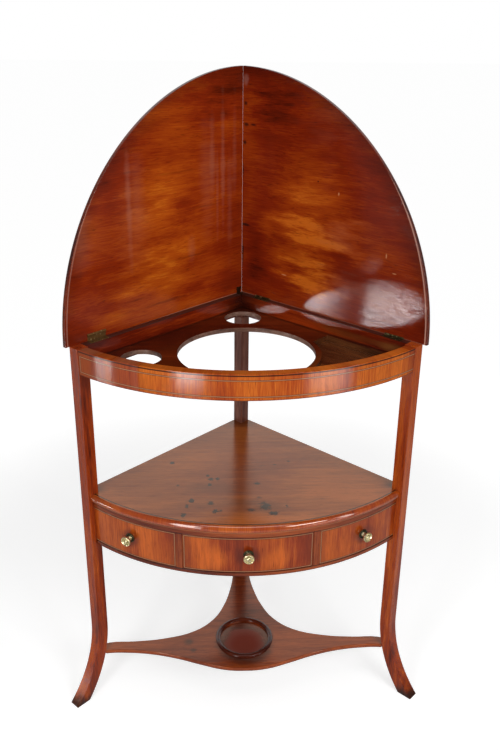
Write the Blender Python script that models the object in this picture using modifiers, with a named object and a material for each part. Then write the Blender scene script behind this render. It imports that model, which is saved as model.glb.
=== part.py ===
"""Corner washstand: a bow-fronted quadrant stand with a sunk basin board, a drawer tier and a folding lid.

Metres, +Z up, the floor is Z = 0 and the bow faces -Y. The origin is the middle of the back post's foot.
Plan points are counted from the wall corner, which lies behind it. Along each wall, s runs from the
corner towards the front leg and t runs from the wall plane into the room.
The lid is shown open: each quadrant leaf stands upright on its own wall.
"""

from math import acos, asin, atan2, cos, hypot, pi, radians, sin, sqrt

import bmesh
import bpy
from mathutils import Matrix, Vector

# Overall sizes
SIDE = 0.457
RIM_HEIGHT = 0.795
SHELF_HEIGHT = 0.489
UNDERTIER_HEIGHT = 0.100
DIAGONAL_SHARE = sqrt(1 / 2)

# Clearances
SEAT_GAP = 0.0003
RUNNING_GAP = 0.0005
CUT_OVERRUN = 0.004
WELD_DISTANCE = 0.00001

# Legs and post
LEG_SECTION = 0.024
LEG_CHAMFER = 0.0012
SWEEP_START_HEIGHT = 0.170
SWEEP_RADIUS = 0.249

# Top frame
FRIEZE_HEIGHT = 0.049
FRIEZE_THICKNESS = 0.020
GALLERY_THICKNESS = 0.0125
FRAME_ROUNDING = 0.0010
WELL_DEPTH = 0.0315
BOARD_THICKNESS = 0.009
BEARER_WIDTH = 0.012
BEARER_END_CLEARANCE = 0.018
FRONT_BEARER_START = radians(-38)
FRONT_BEARER_END = radians(5)

# Holes of the basin board, as shares of the frieze's inner radius
BASIN_SHARE = 0.5995
BASIN_DISTANCE_SHARE = 0.6316
CUP_SHARE = 0.1762
BACK_CUP_DISTANCE_SHARE = 0.1922
LEFT_CUP_S_SHARE = 0.8055
LEFT_CUP_T_SHARE = 0.1682
TRAY_START_SHARE = 0.5778

# Soap tray
TRAY_WALL_DISTANCE = 0.018
TRAY_BASIN_WEB = 0.011
TRAY_LIP_DISTANCE = 0.013
TRAY_CORNER_RADIUS = 0.012
TRAY_PANEL_THICKNESS = 0.0055
TRAY_PANEL_LAP = 0.005

# Middle shelf
SHELF_THICKNESS = 0.012
SHELF_SETBACK = 0.004
NOSING_RADIUS = 0.0055
NOSING_UNDERCUT = 0.002

# Drawer tier
TIER_HEIGHT = 0.1002
TIER_SETBACK = 0.010
TIER_RAIL_THICKNESS = 0.017
TIER_SIDE_THICKNESS = 0.018
TOP_RAIL_HEIGHT = 0.0145
BOTTOM_RAIL_HEIGHT = 0.0078
STILE_AZIMUTH = radians(16.85)
STILE_WIDTH = 0.0115
FRONT_SETBACK = 0.0008

# Drawer
DRAWER_CORNER_CLEARANCE = 0.0132
DRAWER_FRONT_MINIMUM = 0.018
DRAWER_SIDE_THICKNESS = 0.007
DRAWER_SIDE_DROP = 0.0109
DRAWER_SIDE_INSET = 0.006
DRAWER_BACK_THICKNESS = 0.007
DRAWER_BOTTOM_THICKNESS = 0.004
DRAWER_BOTTOM_LIFT = 0.006
GROOVE_DEPTH = 0.003
RUNNER_WIDTH = 0.030
RUNNER_INNER_LAP = 0.019
GUIDE_WIDTH = 0.009
GUIDE_HEIGHT = 0.014
REAR_BEARER_DEPTH = 0.020
STOP_WIDTH = 0.009
STOP_LENGTH = 0.018
STOP_HEIGHT = 0.0035

# Knobs
KNOB_AZIMUTH = radians(30.2)
KNOB_RISE = 0.0022
KNOB_DIAMETER = 0.0205
KNOB_NECK_DIAMETER = 0.0085
KNOB_PROJECTION = 0.0185
KNOB_HEAD_DEPTH = 0.0085
KNOB_BEAD_DIAMETER = 0.0115
SPIGOT_DIAMETER = 0.004
SPIGOT_LENGTH = 0.011
ROSE_DIAMETER = 0.0195
ROSE_THICKNESS = 0.0024

# Shape of the turned brass, as shares of half a knob head's depth and of a rose's thickness
KNOB_DOME_SHARE = 0.3
KNOB_DIMPLE_SHARE = 0.2
KNOB_FLARE_SHARE = 0.5
BEAD_INNER_SHARE = 0.6
ROSE_STEP_SHARE = 0.5

# Undertier
UNDERTIER_THICKNESS = 0.009
UNDERTIER_ROUNDING = 0.0022
UNDERTIER_REACH_SHARE = 0.8512
DISH_DIAMETER = 0.104
DISH_DEPTH = 0.002
RING_DISTANCE_SHARE = 0.7661
RING_WIDTH = 0.010
RING_HEIGHT = 0.005

# Outline of the undertier for x > 0, as shares of its half span and of its reach from the corner
UNDERTIER_BACK_SHARES = (
    (0.060, 0.160),
    (0.066, 0.230),
    (0.092, 0.355),
    (0.140, 0.490),
    (0.214, 0.607),
    (0.345, 0.702),
    (0.550, 0.757),
    (0.760, 0.776),
    (0.935, 0.781),
)
UNDERTIER_FRONT_SHARES = (
    (0.920, 0.844),
    (0.810, 0.845),
    (0.640, 0.861),
    (0.450, 0.902),
    (0.290, 0.951),
    (0.145, 0.989),
    (0.000, 1.000),
)

# Lid
LEAF_OVERHANG = 0.009
LEAF_THICKNESS = 0.010
LEAF_FACE_T = 0.002
LEAF_ROUNDING = 0.0035
LEAF_ARRIS = 0.0008
RIGHT_LEAF_START = 0.0027
LEFT_LEAF_START = 0.0025

# Hinges
HINGE_LENGTH = 0.042
HINGE_END_DISTANCE = 0.0605
HINGE_CORNER_DISTANCE = 0.0645
CORNER_HINGE_LENGTH = 0.012
CORNER_HINGE_S = 0.012
KNUCKLE_RADIUS = 0.0025
PIN_RADIUS = 0.0010
PLATE_THICKNESS = 0.0013
PLATE_WIDTH = 0.0112
PLATE_SEAT_CLEAR = 0.0006
PLATE_FACE_CLEAR = 0.0001
PLATE_EDGE_CLEAR = 0.0009
NOTCH_CLEAR = 0.0010
KNUCKLE_GAP = 0.0004

# Finishes: colour, roughness, metallic
MAHOGANY = (0.17, 0.040, 0.014)
ROSEWOOD_RED = (0.23, 0.052, 0.014)
DRAWER_OAK = (0.36, 0.22, 0.11)
OLD_BRASS = (0.63, 0.46, 0.20)
WOOD_ROUGHNESS = 0.32
OAK_ROUGHNESS = 0.60
BRASS_ROUGHNESS = 0.28

# Facets
ARC_STEP = radians(2.5)
FILLET_STEP = radians(11)
FILLET_LIMIT = 0.077
HOLE_STEPS = 64
CUP_STEPS = 40
TURNED_STEPS = 24
KNUCKLE_STEPS = 14
OUTLINE_STEPS = 4
SMOOTH_ANGLE = radians(35)
BEVEL_ANGLE = radians(40)
FLAT_ANGLE = radians(0.5)

# Worked out from the sizes above
INWARD = {"left": 1, "right": -1}
WALL_ANGLE = {"left": radians(-135), "right": radians(-45)}
MIRROR = {"left": -1, "right": 1}
FRIEZE_FOOT = RIM_HEIGHT - FRIEZE_HEIGHT
FRIEZE_INNER_RADIUS = SIDE - FRIEZE_THICKNESS
BASIN_RADIUS = FRIEZE_INNER_RADIUS * BASIN_SHARE / 2
BASIN_DISTANCE = FRIEZE_INNER_RADIUS * BASIN_DISTANCE_SHARE
CUP_RADIUS = FRIEZE_INNER_RADIUS * CUP_SHARE / 2
BACK_CUP_DISTANCE = FRIEZE_INNER_RADIUS * BACK_CUP_DISTANCE_SHARE
LEFT_CUP_S = FRIEZE_INNER_RADIUS * LEFT_CUP_S_SHARE
LEFT_CUP_T = FRIEZE_INNER_RADIUS * LEFT_CUP_T_SHARE
TRAY_START_S = FRIEZE_INNER_RADIUS * TRAY_START_SHARE
BOARD_TOP = RIM_HEIGHT - WELL_DEPTH
BOARD_FOOT = BOARD_TOP - BOARD_THICKNESS
LEG_START = SIDE - LEG_SECTION
RAIL_END = LEG_START - SEAT_GAP
LEG_SIDE_T = LEG_SECTION + SEAT_GAP
SHELF_FOOT = SHELF_HEIGHT - SHELF_THICKNESS
SHELF_RADIUS = SIDE - SHELF_SETBACK
TIER_RADIUS = SIDE - TIER_SETBACK
TIER_INNER_RADIUS = TIER_RADIUS - TIER_RAIL_THICKNESS
TIER_HEAD = SHELF_FOOT - SEAT_GAP
TIER_FOOT_HEIGHT = TIER_HEAD - TIER_HEIGHT
OPENING_HEAD = TIER_HEAD - TOP_RAIL_HEIGHT
OPENING_FOOT = TIER_FOOT_HEIGHT + BOTTOM_RAIL_HEIGHT
KNOB_HEIGHT = (OPENING_HEAD + OPENING_FOOT) / 2 + KNOB_RISE
FRONT_RADIUS = TIER_RADIUS - FRONT_SETBACK
STILE_HALF_ANGLE = asin(STILE_WIDTH / 2 / TIER_RADIUS)
DRAWER_HALF_ANGLE = STILE_AZIMUTH - STILE_HALF_ANGLE - asin(RUNNING_GAP / TIER_RADIUS)
DRAWER_HALF_WIDTH = FRONT_RADIUS * sin(DRAWER_HALF_ANGLE)
DRAWER_FRONT_BACK = FRONT_RADIUS * cos(DRAWER_HALF_ANGLE) - DRAWER_FRONT_MINIMUM
DRAWER_SIDE_X = DRAWER_HALF_WIDTH - DRAWER_SIDE_INSET
DRAWER_FOOT = OPENING_FOOT + RUNNING_GAP
DRAWER_FRONT_HEIGHT = OPENING_HEAD - RUNNING_GAP - DRAWER_FOOT
DRAWER_SIDE_HEIGHT = DRAWER_FRONT_HEIGHT - DRAWER_SIDE_DROP
TIER_CORNER_REACH = TIER_SIDE_THICKNESS / DIAGONAL_SHARE
DRAWER_REAR_DISTANCE = DRAWER_SIDE_X + GUIDE_WIDTH + TIER_CORNER_REACH + DRAWER_CORNER_CLEARANCE
UNDERTIER_REACH = SIDE * UNDERTIER_REACH_SHARE
RING_DISTANCE = UNDERTIER_REACH * RING_DISTANCE_SHARE
LEAF_RADIUS = SIDE + LEAF_OVERHANG
HINGE_OUTER_S = SIDE - HINGE_END_DISTANCE
UNDERTIER_FOOT = UNDERTIER_HEIGHT - UNDERTIER_THICKNESS
RIM_CLEAR = RIM_HEIGHT + RUNNING_GAP
LEFT_PIN_HEIGHT = RIM_CLEAR + LEAF_THICKNESS + RUNNING_GAP
PIN_HEIGHT = {"left": LEFT_PIN_HEIGHT, "right": RIM_CLEAR}
LEAF_START = {"left": LEFT_LEAF_START, "right": RIGHT_LEAF_START}
HOLE_RADIUS = PIN_RADIUS + SEAT_GAP
KNUCKLE_CLEAR = KNUCKLE_RADIUS + RUNNING_GAP


def clear_scene():
    for obj in list(bpy.data.objects):
        bpy.data.objects.remove(obj, do_unlink=True)


def new_collection(name):
    collection = bpy.data.collections.new(name)
    bpy.context.scene.collection.children.link(collection)
    return collection


def new_material(name, colour, roughness, metallic=0.0):
    material = bpy.data.materials.new(name)
    material.use_nodes = True
    shader = material.node_tree.nodes["Principled BSDF"]
    shader.inputs["Base Color"].default_value = (*colour, 1.0)
    shader.inputs["Roughness"].default_value = roughness
    shader.inputs["Metallic"].default_value = metallic
    material.diffuse_color = (*colour, 1.0)
    return material


# Points


def plan_point(radius, azimuth):
    """A point of the plan: azimuth 0 is the middle of the bow, positive towards +X."""
    return (radius * sin(azimuth), -radius * cos(azimuth))


def wall_point(hand, s, t):
    """A point of the plan, s along one wall and t into the room."""
    return (MIRROR[hand] * (s - t) * DIAGONAL_SHARE, -(s + t) * DIAGONAL_SHARE)


def azimuth_at(radius, t):
    """Azimuth at which a circle round the corner meets the line t off the right wall."""
    return pi / 4 - asin(t / radius)


def arc(centre, radius, start, end):
    """Points of an arc, angles measured like azimuths."""
    step_angle = ARC_STEP if radius > FILLET_LIMIT else FILLET_STEP
    steps = max(2, round(abs(end - start) / step_angle))
    turns = [start + (end - start) * step / steps for step in range(steps + 1)]
    return [(centre[0] + radius * sin(turn), centre[1] - radius * cos(turn)) for turn in turns]


def circle(centre, radius, steps):
    turns = [2 * pi * step / steps for step in range(steps)]
    return [(centre[0] + radius * sin(turn), centre[1] - radius * cos(turn)) for turn in turns]


def direction(start, end):
    """Azimuth of the line from one point to another."""
    return atan2(end[0] - start[0], start[1] - end[1])


# Meshes


def mesh_from(shape, name):
    """Turn a bmesh into a mesh with its faces pointing out."""
    bmesh.ops.recalc_face_normals(shape, faces=shape.faces[:])
    mesh = bpy.data.meshes.new(name)
    shape.to_mesh(mesh)
    shape.free()
    return mesh


def box_mesh(name, low, high):
    shape = bmesh.new()
    bmesh.ops.create_cube(shape, size=1)
    size = Vector(high) - Vector(low)
    middle = (Vector(high) + Vector(low)) / 2
    place = Matrix.Translation(middle) @ Matrix.Diagonal((*size, 1))
    bmesh.ops.transform(shape, verts=shape.verts, matrix=place)
    return mesh_from(shape, name)


def plate_mesh(name, outlines, thickness, smooth_splines=()):
    """A flat outline with its holes, standing on local Z = 0. Smooth splines follow Bezier curves."""
    curve = bpy.data.curves.new(name + "_outline", "CURVE")
    curve.dimensions = "2D"
    curve.fill_mode = "BOTH"
    curve.extrude = thickness / 2
    curve.resolution_u = OUTLINE_STEPS
    for number, outline in enumerate(outlines):
        spline = curve.splines.new("POLY")
        spline.points.add(len(outline) - 1)
        for point, place in zip(spline.points, outline):
            point.co = (*place, 0, 1)
        spline.use_cyclic_u = True
    for outline in smooth_splines:
        spline = curve.splines.new("BEZIER")
        spline.bezier_points.add(len(outline) - 1)
        for point, (place, kind) in zip(spline.bezier_points, outline):
            point.co = (*place, 0)
            point.handle_left_type = point.handle_right_type = kind
        spline.use_cyclic_u = True
    guide = bpy.data.objects.new(name + "_outline", curve)
    bpy.context.scene.collection.objects.link(guide)
    bpy.context.view_layer.update()
    graph = bpy.context.evaluated_depsgraph_get()
    mesh = bpy.data.meshes.new_from_object(guide.evaluated_get(graph))
    bpy.data.objects.remove(guide)
    bpy.data.curves.remove(curve)
    shape = bmesh.new()
    shape.from_mesh(mesh)
    bpy.data.meshes.remove(mesh)
    bmesh.ops.remove_doubles(shape, verts=shape.verts, dist=WELD_DISTANCE)
    bmesh.ops.dissolve_limit(shape, angle_limit=FLAT_ANGLE, verts=shape.verts[:], edges=shape.edges[:])
    bmesh.ops.translate(shape, verts=shape.verts, vec=(0, 0, thickness / 2))
    return mesh_from(shape, name)


def turned_mesh(name, profile):
    """A profile of (radius, height) points turned round local Z."""
    mesh = bpy.data.meshes.new(name)
    closed = profile[0][0] > 0
    edges = [(number, number + 1) for number in range(len(profile) - 1)]
    if closed:
        edges.append((len(profile) - 1, 0))
    mesh.from_pydata([(radius, 0, height) for radius, height in profile], edges, [])
    holder = bpy.data.objects.new(name, mesh)
    bpy.context.scene.collection.objects.link(holder)
    screw = holder.modifiers.new("turning", "SCREW")
    screw.axis = "Z"
    screw.steps = screw.render_steps = TURNED_STEPS
    screw.use_merge_vertices = True
    screw.merge_threshold = WELD_DISTANCE
    bpy.context.view_layer.update()
    graph = bpy.context.evaluated_depsgraph_get()
    turned = bpy.data.meshes.new_from_object(holder.evaluated_get(graph))
    bpy.data.objects.remove(holder)
    shape = bmesh.new()
    shape.from_mesh(turned)
    bpy.data.meshes.remove(turned)
    return mesh_from(shape, name)


def upright(mesh, hand):
    """Stand a plate on its wall: its outline is (s, height) and its thickness runs away from the room."""
    shape = bmesh.new()
    shape.from_mesh(mesh)
    turn = Matrix(((1, 0, 0, 0), (0, 0, -INWARD[hand], 0), (0, 1, 0, 0), (0, 0, 0, 1)))
    bmesh.ops.transform(shape, verts=shape.verts, matrix=turn)
    bmesh.ops.recalc_face_normals(shape, faces=shape.faces[:])
    shape.to_mesh(mesh)
    shape.free()
    return mesh


# Objects


class Workshop:
    """Holds the collections, the wall frames and the finishes."""

    def __init__(self):
        self.parts = new_collection("corner_washstand")
        self.cutters = new_collection("cutters")
        self.corner = self.frame("wall_corner", 0, (0, LEG_SECTION * DIAGONAL_SHARE, 0))
        self.walls = {
            hand: self.frame("wall_" + hand, WALL_ANGLE[hand], parent=self.corner) for hand in INWARD
        }
        self.wood = new_material("mahogany", MAHOGANY, WOOD_ROUGHNESS)
        self.veneer = new_material("veneered_front", ROSEWOOD_RED, WOOD_ROUGHNESS)
        self.oak = new_material("drawer_lining_oak", DRAWER_OAK, OAK_ROUGHNESS)
        self.brass = new_material("old_brass", OLD_BRASS, BRASS_ROUGHNESS, 1.0)

    def frame(self, name, angle, place=(0, 0, 0), parent=None):
        empty = bpy.data.objects.new(name, None)
        empty.location = place
        empty.rotation_euler = (0, 0, angle)
        empty.parent = parent
        self.parts.objects.link(empty)
        return empty

    def add(self, name, mesh, material, place=(0, 0, 0), parent=None, turn=(0, 0, 0)):
        mesh.name = name
        mesh.materials.append(material)
        mesh.shade_smooth()
        mesh.set_sharp_from_angle(angle=SMOOTH_ANGLE)
        obj = bpy.data.objects.new(name, mesh)
        obj.location = place
        obj.rotation_euler = turn
        obj.parent = parent or self.corner
        self.parts.objects.link(obj)
        return obj

    def add_cutter(self, name, mesh, place=(0, 0, 0), parent=None, turn=(0, 0, 0)):
        obj = bpy.data.objects.new(name, mesh)
        obj.location = place
        obj.rotation_euler = turn
        obj.parent = parent or self.corner
        obj.hide_render = True
        obj.display_type = "WIRE"
        self.cutters.objects.link(obj)
        return obj


def combine(obj, other, operation):
    modifier = obj.modifiers.new(other.name, "BOOLEAN")
    modifier.operation = operation
    modifier.solver = "EXACT"
    modifier.object = other


def round_edges(obj, width, segments=1):
    modifier = obj.modifiers.new("rounding", "BEVEL")
    modifier.width = width
    modifier.segments = segments
    modifier.limit_method = "ANGLE"
    modifier.angle_limit = BEVEL_ANGLE
    modifier.use_clamp_overlap = True


def wall_box(hand, name, s_range, t_range, z_range):
    """A box mesh in the frame of one wall."""
    across = sorted(INWARD[hand] * t for t in t_range)
    return box_mesh(name, (s_range[0], across[0], z_range[0]), (s_range[1], across[1], z_range[1]))


# Posts and legs


def swept_side(face_s):
    """One long side of a leg, from the sweep's start down to the floor, as (s, height) points."""
    centre_s = SIDE + SWEEP_RADIUS
    radius = centre_s - face_s
    foot_turn = asin(SWEEP_START_HEIGHT / radius)
    steps = max(2, round(foot_turn / ARC_STEP))
    turns = [foot_turn * step / steps for step in range(steps + 1)]
    return [(centre_s - radius * cos(turn), SWEEP_START_HEIGHT - radius * sin(turn)) for turn in turns]


def front_leg(shop, hand):
    outer = swept_side(SIDE)
    inner = swept_side(LEG_START)
    outline = [(LEG_START, RIM_HEIGHT), (SIDE, RIM_HEIGHT), *outer, *reversed(inner)]
    mesh = upright(plate_mesh("leg_side", [outline], LEG_SECTION), hand)
    place = (0, INWARD[hand] * LEG_SECTION, 0)
    leg = shop.add("front_leg_" + hand, mesh, shop.wood, place, shop.walls[hand])
    round_edges(leg, LEG_CHAMFER)


def back_post(shop):
    """Full section up to the galleries, then a stub inside their corner that reaches the board."""
    wall = shop.walls["left"]
    top = FRIEZE_FOOT - SEAT_GAP
    body = wall_box("left", "post", (0, LEG_SECTION), (0, LEG_SECTION), (0, top))
    stub_start = GALLERY_THICKNESS + SEAT_GAP
    stub_range = (stub_start, LEG_SECTION - LEG_CHAMFER)
    stub_heights = (top - CUT_OVERRUN, BOARD_FOOT - SEAT_GAP)
    stub_mesh = wall_box("left", "post_stub", stub_range, stub_range, stub_heights)
    stub = shop.add_cutter("post_stub", stub_mesh, parent=wall)
    post = shop.add("back_post", body, shop.wood, parent=wall)
    round_edges(post, LEG_CHAMFER)
    combine(post, stub, "UNION")


# Top frame


def gallery(shop, hand):
    """The left gallery runs into the corner and the right one butts against it."""
    start = 0 if hand == "left" else GALLERY_THICKNESS + SEAT_GAP
    mesh = wall_box(hand, "gallery", (start, RAIL_END), (0, GALLERY_THICKNESS), (FRIEZE_FOOT, RIM_HEIGHT))
    rail = shop.add("gallery_" + hand, mesh, shop.wood, parent=shop.walls[hand])
    for cutter in hinge_seats(shop, hand):
        combine(rail, cutter, "DIFFERENCE")
    return rail


def band_outline(outer, inner, start_at, end_at):
    """Outline of a bowed piece; start_at and end_at give the azimuth of its ends at a radius."""
    front = arc((0, 0), outer, start_at(outer), end_at(outer))
    back = arc((0, 0), inner, end_at(inner), start_at(inner))
    return front + back


def right_leg_azimuth(radius):
    return azimuth_at(radius, LEG_SIDE_T)


def left_leg_azimuth(radius):
    return -azimuth_at(radius, LEG_SIDE_T)


def bowed_rail(shop, name, outer, inner, foot, head, material, rounding=FRAME_ROUNDING):
    """A bowed rail that runs from leg to leg."""
    outline = band_outline(outer, inner, left_leg_azimuth, right_leg_azimuth)
    rail = shop.add(name, plate_mesh(name, [outline], head - foot), material, (0, 0, foot))
    round_edges(rail, rounding)
    return rail


def board_outline():
    """The basin board fits between the galleries, round the legs and inside the frieze."""
    radius = FRIEZE_INNER_RADIUS - SEAT_GAP
    wall_t = GALLERY_THICKNESS + SEAT_GAP
    notch_s = sqrt(radius**2 - LEG_SIDE_T**2)
    corner_steps = [(wall_t, wall_t), (RAIL_END, wall_t), (RAIL_END, LEG_SIDE_T), (notch_s, LEG_SIDE_T)]
    right = [wall_point("right", s, t) for s, t in corner_steps]
    left = [wall_point("left", s, t) for s, t in corner_steps[1:]]
    end = right_leg_azimuth(radius)
    front = arc((0, 0), radius, end, -end)
    return right + front[1:-1] + list(reversed(left))


def tray_outline(lap):
    """The sunk tray lies between the basin hole, the right gallery and the lip, its corners rounded."""
    fillet = TRAY_CORNER_RADIUS
    lip = FRIEZE_INNER_RADIUS - TRAY_LIP_DISTANCE + lap
    basin = (0, -BASIN_DISTANCE)
    basin_s = BASIN_DISTANCE * DIAGONAL_SHARE
    edge = BASIN_RADIUS + TRAY_BASIN_WEB - lap
    back_s = TRAY_START_S - lap + fillet
    wall_t = TRAY_WALL_DISTANCE - lap + fillet
    web_t = basin_s - sqrt((edge + fillet) ** 2 - (back_s - basin_s) ** 2)
    end_s = sqrt((lip - fillet) ** 2 - wall_t**2)
    reach = lip - fillet
    front_turn = acos((reach**2 + BASIN_DISTANCE**2 - (edge + fillet) ** 2) / (2 * reach * BASIN_DISTANCE))
    by_corner = wall_point("right", back_s, wall_t)
    by_end = wall_point("right", end_s, wall_t)
    by_front = plan_point(reach, front_turn)
    by_web = wall_point("right", back_s, web_t)
    end_turn = direction((0, 0), by_end)
    points = arc(by_corner, fillet, radians(225), radians(135))
    points += arc(by_end, fillet, radians(135), end_turn)
    points += arc((0, 0), lip, end_turn, front_turn)[1:-1]
    points += arc(by_front, fillet, front_turn, direction(by_front, basin))
    points += arc(basin, edge, direction(basin, by_front), direction(basin, by_web))[1:-1]
    points += arc(by_web, fillet, direction(by_web, basin), radians(-135))
    return points


def basin_board(shop):
    holes = [
        circle((0, -BASIN_DISTANCE), BASIN_RADIUS, HOLE_STEPS),
        circle((0, -BACK_CUP_DISTANCE), CUP_RADIUS, CUP_STEPS),
        circle(wall_point("left", LEFT_CUP_S, LEFT_CUP_T), CUP_RADIUS, CUP_STEPS),
        tray_outline(0),
    ]
    mesh = plate_mesh("basin_board", [board_outline(), *holes], BOARD_THICKNESS)
    shop.add("basin_board", mesh, shop.wood, (0, 0, BOARD_FOOT))


def board_supports(shop):
    """Battens under the board, and the panel that closes the soap tray from below."""
    head = BOARD_FOOT - SEAT_GAP
    heights = (FRIEZE_FOOT, head)
    wall_t = GALLERY_THICKNESS + SEAT_GAP
    t_range = (wall_t, wall_t + BEARER_WIDTH)
    cup_s = BACK_CUP_DISTANCE * DIAGONAL_SHARE + CUP_RADIUS
    start = cup_s + BEARER_END_CLEARANCE
    tray_s = BASIN_DISTANCE * DIAGONAL_SHARE + TRAY_CORNER_RADIUS
    ends = {"left": RAIL_END - BEARER_END_CLEARANCE, "right": tray_s + TRAY_CORNER_RADIUS}
    for hand, end in ends.items():
        mesh = wall_box(hand, "bearer", (start, end), t_range, heights)
        bearer = shop.add("board_bearer_" + hand, mesh, shop.wood, parent=shop.walls[hand])
        round_edges(bearer, FRAME_ROUNDING)
    outer = FRIEZE_INNER_RADIUS - SEAT_GAP
    outline = band_outline(
        outer, outer - BEARER_WIDTH, lambda radius: FRONT_BEARER_START, lambda radius: FRONT_BEARER_END
    )
    mesh = plate_mesh("front_bearer", [outline], head - FRIEZE_FOOT)
    shop.add("board_bearer_front", mesh, shop.wood, (0, 0, FRIEZE_FOOT))
    panel = plate_mesh("soap_tray", [tray_outline(TRAY_PANEL_LAP)], TRAY_PANEL_THICKNESS)
    shop.add("soap_tray", panel, shop.wood, (0, 0, head - TRAY_PANEL_THICKNESS))


def top_frame(shop):
    gallery(shop, "left")
    gallery(shop, "right")
    bowed_rail(shop, "bow_frieze", SIDE, FRIEZE_INNER_RADIUS, FRIEZE_FOOT, RIM_HEIGHT, shop.veneer)
    basin_board(shop)
    board_supports(shop)


# Shelf and drawer tier


def mould_front(mesh, radius, top, foot):
    """Round the front edge of the shelf above, and ease it below."""
    shape = bmesh.new()
    shape.from_mesh(mesh)
    for height, width, segments in ((top, NOSING_RADIUS, 4), (foot, NOSING_UNDERCUT, 2)):
        edges = []
        for edge in shape.edges:
            on_front = all(abs(hypot(*vert.co[:2]) - radius) < WELD_DISTANCE for vert in edge.verts)
            level = all(abs(vert.co.z - height) < WELD_DISTANCE for vert in edge.verts)
            if on_front and level:
                edges.append(edge)
        bmesh.ops.bevel(
            shape, geom=edges, offset=width, segments=segments, profile=0.5, affect="EDGES", clamp_overlap=True
        )
    bmesh.ops.recalc_face_normals(shape, faces=shape.faces[:])
    shape.to_mesh(mesh)
    shape.free()


def middle_shelf(shop):
    radius = SHELF_RADIUS
    post_side = LEG_SECTION + SEAT_GAP
    notch_s = sqrt(radius**2 - LEG_SIDE_T**2)
    steps = [(post_side, 0), (RAIL_END, 0), (RAIL_END, LEG_SIDE_T), (notch_s, LEG_SIDE_T)]
    right = [wall_point("right", s, t) for s, t in steps]
    left = [wall_point("left", s, t) for s, t in steps]
    end = right_leg_azimuth(radius)
    front = arc((0, 0), radius, end, -end)
    outline = [wall_point("right", post_side, post_side), *right, *front[1:-1], *reversed(left)]
    mesh = plate_mesh("middle_shelf", [outline], SHELF_THICKNESS)
    mould_front(mesh, radius, SHELF_THICKNESS, 0)
    shop.add("middle_shelf", mesh, shop.wood, (0, 0, SHELF_FOOT))


def tier_sides(shop):
    start = LEG_SECTION + SEAT_GAP
    for hand in INWARD:
        heights = (TIER_FOOT_HEIGHT, TIER_HEAD)
        mesh = wall_box(hand, "tier_side", (start, RAIL_END), (0, TIER_SIDE_THICKNESS), heights)
        rail = shop.add("tier_rail_" + hand, mesh, shop.wood, parent=shop.walls[hand])
        round_edges(rail, FRAME_ROUNDING)


def tier_front(shop):
    """Bowed rails above and below, two uprights and the two dummy fronts."""
    bowed_rail(shop, "tier_top_rail", TIER_RADIUS, TIER_INNER_RADIUS, OPENING_HEAD, TIER_HEAD, shop.wood)
    bowed_rail(
        shop, "tier_bottom_rail", TIER_RADIUS, TIER_INNER_RADIUS, TIER_FOOT_HEIGHT, OPENING_FOOT, shop.wood
    )
    foot = OPENING_FOOT + SEAT_GAP
    height = OPENING_HEAD - SEAT_GAP - foot
    gap_angle = asin(SEAT_GAP / TIER_RADIUS)
    inner_end = STILE_AZIMUTH - STILE_HALF_ANGLE
    outer_end = STILE_AZIMUTH + STILE_HALF_ANGLE
    for hand, mirror in MIRROR.items():
        stile = band_outline(
            TIER_RADIUS, TIER_INNER_RADIUS, lambda radius: mirror * inner_end, lambda radius: mirror * outer_end
        )
        shop.add("stile_" + hand, plate_mesh("stile", [stile], height), shop.wood, (0, 0, foot))
        front = band_outline(
            FRONT_RADIUS,
            TIER_INNER_RADIUS,
            lambda radius: mirror * (outer_end + gap_angle),
            lambda radius: mirror * right_leg_azimuth(radius),
        )
        mesh = plate_mesh("false_front", [front], height)
        panel = shop.add("false_front_" + hand, mesh, shop.veneer, (0, 0, foot))
        combine(panel, spigot_hole(shop, hand), "DIFFERENCE")


def drawer_runners(shop):
    """Runners, guides and stops, from the bottom rail to a bearer between the side rails."""
    rear_y = -DRAWER_REAR_DISTANCE + RUNNING_GAP + REAR_BEARER_DEPTH
    rail_reach = TIER_CORNER_REACH + RUNNING_GAP
    back_y = rear_y
    front_y = rear_y - REAR_BEARER_DEPTH
    wide = -front_y - rail_reach
    narrow = -back_y - rail_reach
    outline = [(-wide, front_y), (wide, front_y), (narrow, back_y), (-narrow, back_y)]
    height = OPENING_FOOT - TIER_FOOT_HEIGHT
    shop.add("rear_bearer", plate_mesh("rear_bearer", [outline], height), shop.oak, (0, 0, TIER_FOOT_HEIGHT))
    side_clear = DRAWER_SIDE_X + RUNNING_GAP
    inner_x = DRAWER_SIDE_X - RUNNER_INNER_LAP
    outer_x = inner_x + RUNNER_WIDTH
    runner_front = -sqrt(TIER_INNER_RADIUS**2 - outer_x**2) + SEAT_GAP
    runner_back = front_y - SEAT_GAP
    for hand, mirror in MIRROR.items():
        x_range = sorted((mirror * inner_x, mirror * outer_x))
        low = (x_range[0], runner_front, TIER_FOOT_HEIGHT)
        high = (x_range[1], runner_back, OPENING_FOOT)
        shop.add("runner_" + hand, box_mesh("runner", low, high), shop.oak)
        x_range = sorted((mirror * side_clear, mirror * (side_clear + GUIDE_WIDTH)))
        low = (x_range[0], runner_front, OPENING_FOOT + SEAT_GAP)
        high = (x_range[1], runner_back, OPENING_FOOT + GUIDE_HEIGHT)
        shop.add("guide_" + hand, box_mesh("guide", low, high), shop.oak)
        stop_x = inner_x + SEAT_GAP
        x_range = sorted((mirror * stop_x, mirror * (stop_x + STOP_WIDTH)))
        stop_front = max(runner_front, -DRAWER_FRONT_BACK + RUNNING_GAP)
        low = (x_range[0], stop_front, OPENING_FOOT + SEAT_GAP)
        high = (x_range[1], stop_front + STOP_LENGTH, OPENING_FOOT + STOP_HEIGHT)
        shop.add("drawer_stop_" + hand, box_mesh("drawer_stop", low, high), shop.oak)


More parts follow.
